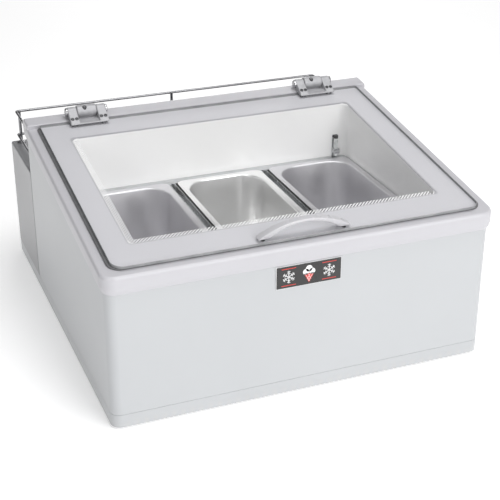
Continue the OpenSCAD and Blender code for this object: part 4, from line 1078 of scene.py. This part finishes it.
def build_controls():
    rib = block((KNOB_X - 2, KNOB_X + 2), (PANEL_Y + 7, PANEL_Y + 11),
                (CONTROL_Z, CONTROL_Z + 15), 0.5)
    mark = block((KNOB_X - 0.6, KNOB_X + 0.6), (PANEL_Y + 10.8, PANEL_Y + 11.0),
                 (CONTROL_Z + 3, CONTROL_Z + 14), 0.05, 1, 1)
    piece("dial", joined(fluted_knob(), rib, mark), "thermostat_dial",
          ["black_plastic", "plate_white"], ["thermostat_knob"])
    piece("rocker", rounded_copy("switch_rocker", 0.8, 3), "power_rocker", ["rocker_red"],
          ["switch_rocker"])
    piece("rocker_frame", rounded_copy("switch_body", 0.5), "cabinet", ["black_plastic"],
          ["switch_body"])
    gland = lathed([(5.0, -7.5), (7.9, -7.5), (7.9, -0.2), (10.4, 0.0), (11.0, 0.6), (11.0, 3.4),
                    (10.4, 4.0), (8.0, 4.2), (7.6, 5.0), (7.8, 5.6), (7.3, 6.4), (7.6, 7.0),
                    (7.0, 7.8), (7.2, 8.6), (6.4, 9.9), (5.6, 10.0), (5.0, 9.6), (5.0, -7.5)],
                   "y", (GLAND_X, PANEL_Y, CONTROL_Z), 36)
    piece("gland", gland, "cabinet", ["black_plastic"], ["cord_gland"])


def build_compressor():
    x, y, z, plate_x, plate_y = -200.0, 271.75, 14.0, 89, 57
    shell = lathed([(0, 3.2), (54, 3.2), (60, 6), (61.7, 12), (61.7, 66), (62.0, 67), (62.0, 73),
                    (61.2, 74), (60.6, 76), (60.6, 128), (59.0, 134.5), (52.0, 141.0),
                    (40.0, 145.8), (24.0, 149.0), (10.0, 149.9), (0, 150.0)], "z", (x, y, z), 56)
    plate = block((x - plate_x, x + plate_x), (y - plate_y, y + plate_y), (z, z + 3.0), 0.8)
    piece("compressor_shell", joined(shell, plate), "cabinet", ["compressor_black"],
          ["compressor"])


def build_feet():
    feet = [lathed([(0, 0), (14.5, 0), (15.8, 0.5), (16.4, 1.2), (17.9, 3.6), (17.9, 3.95),
                    (0, 3.95)], "z", (x, y, 0), 36)
            for x in (-300.0, 300.0) for y in (-317.5, 323.5)]
    piece("feet", joined(*feet), "cabinet", ["black_rubber"], ["rubber_feet"])


def build_fan():
    for node, name, radius, key in (
            ("fan_shroud", "shroud", 0.5, "zinc_sheet"),
            ("terminal_box", "terminal_cover", 1.2, "black_plastic"),
            ("thermostat", "thermostat_body", 1.0, "thermostat_case")):
        piece(name, rounded_copy(node, radius), "cabinet", [key], [node])
    piece("fan_wheel", rounded_copy("fan_blades", 0.4), "fan", ["fan_plastic"], ["fan_blades"])


def refinish_nodes():
    # the liner takes the brighter white: painted light
    refinish("tub_white_painted_light", "inner_tub")
    refinish("foam", "insulation")
    refinish("copper", "evaporator_coil", "filter_drier", "suction_pipe", "discharge_pipe")
    refinish("frame_steel", "pan_frame", "divider_bars", "clamp_plates")
    refinish("black_rubber", "compressor_grommets")
    refinish("fin_aluminium", "condenser")
    refinish("zinc_sheet", "fan_motor")
    refinish("pin_steel", "thermostat_shaft")


def make_floor():
    bm = bmesh.new()
    bmesh.ops.create_grid(bm, x_segments=8, y_segments=8, size=FLOOR_SIZE)
    mesh = bpy.data.meshes.new("studio_floor")
    bm.to_mesh(mesh)
    bm.free()
    floor = bpy.data.objects.new("studio_floor", mesh)
    mesh.materials.append(MATERIALS["floor"])
    bpy.context.scene.collection.objects.link(floor)


make_materials()
make_camera()
make_light()
make_floor()
build_skin()
build_tray()
build_collar()
build_seal()
build_glass()
build_handle()
build_pans()
build_hinges()
build_plate()
build_probe()
build_housing()
build_rail()
build_rear()
build_controls()
build_compressor()
build_feet()
build_fan()
refinish_nodes()
bpy.context.scene.view_settings.view_transform = "Standard"
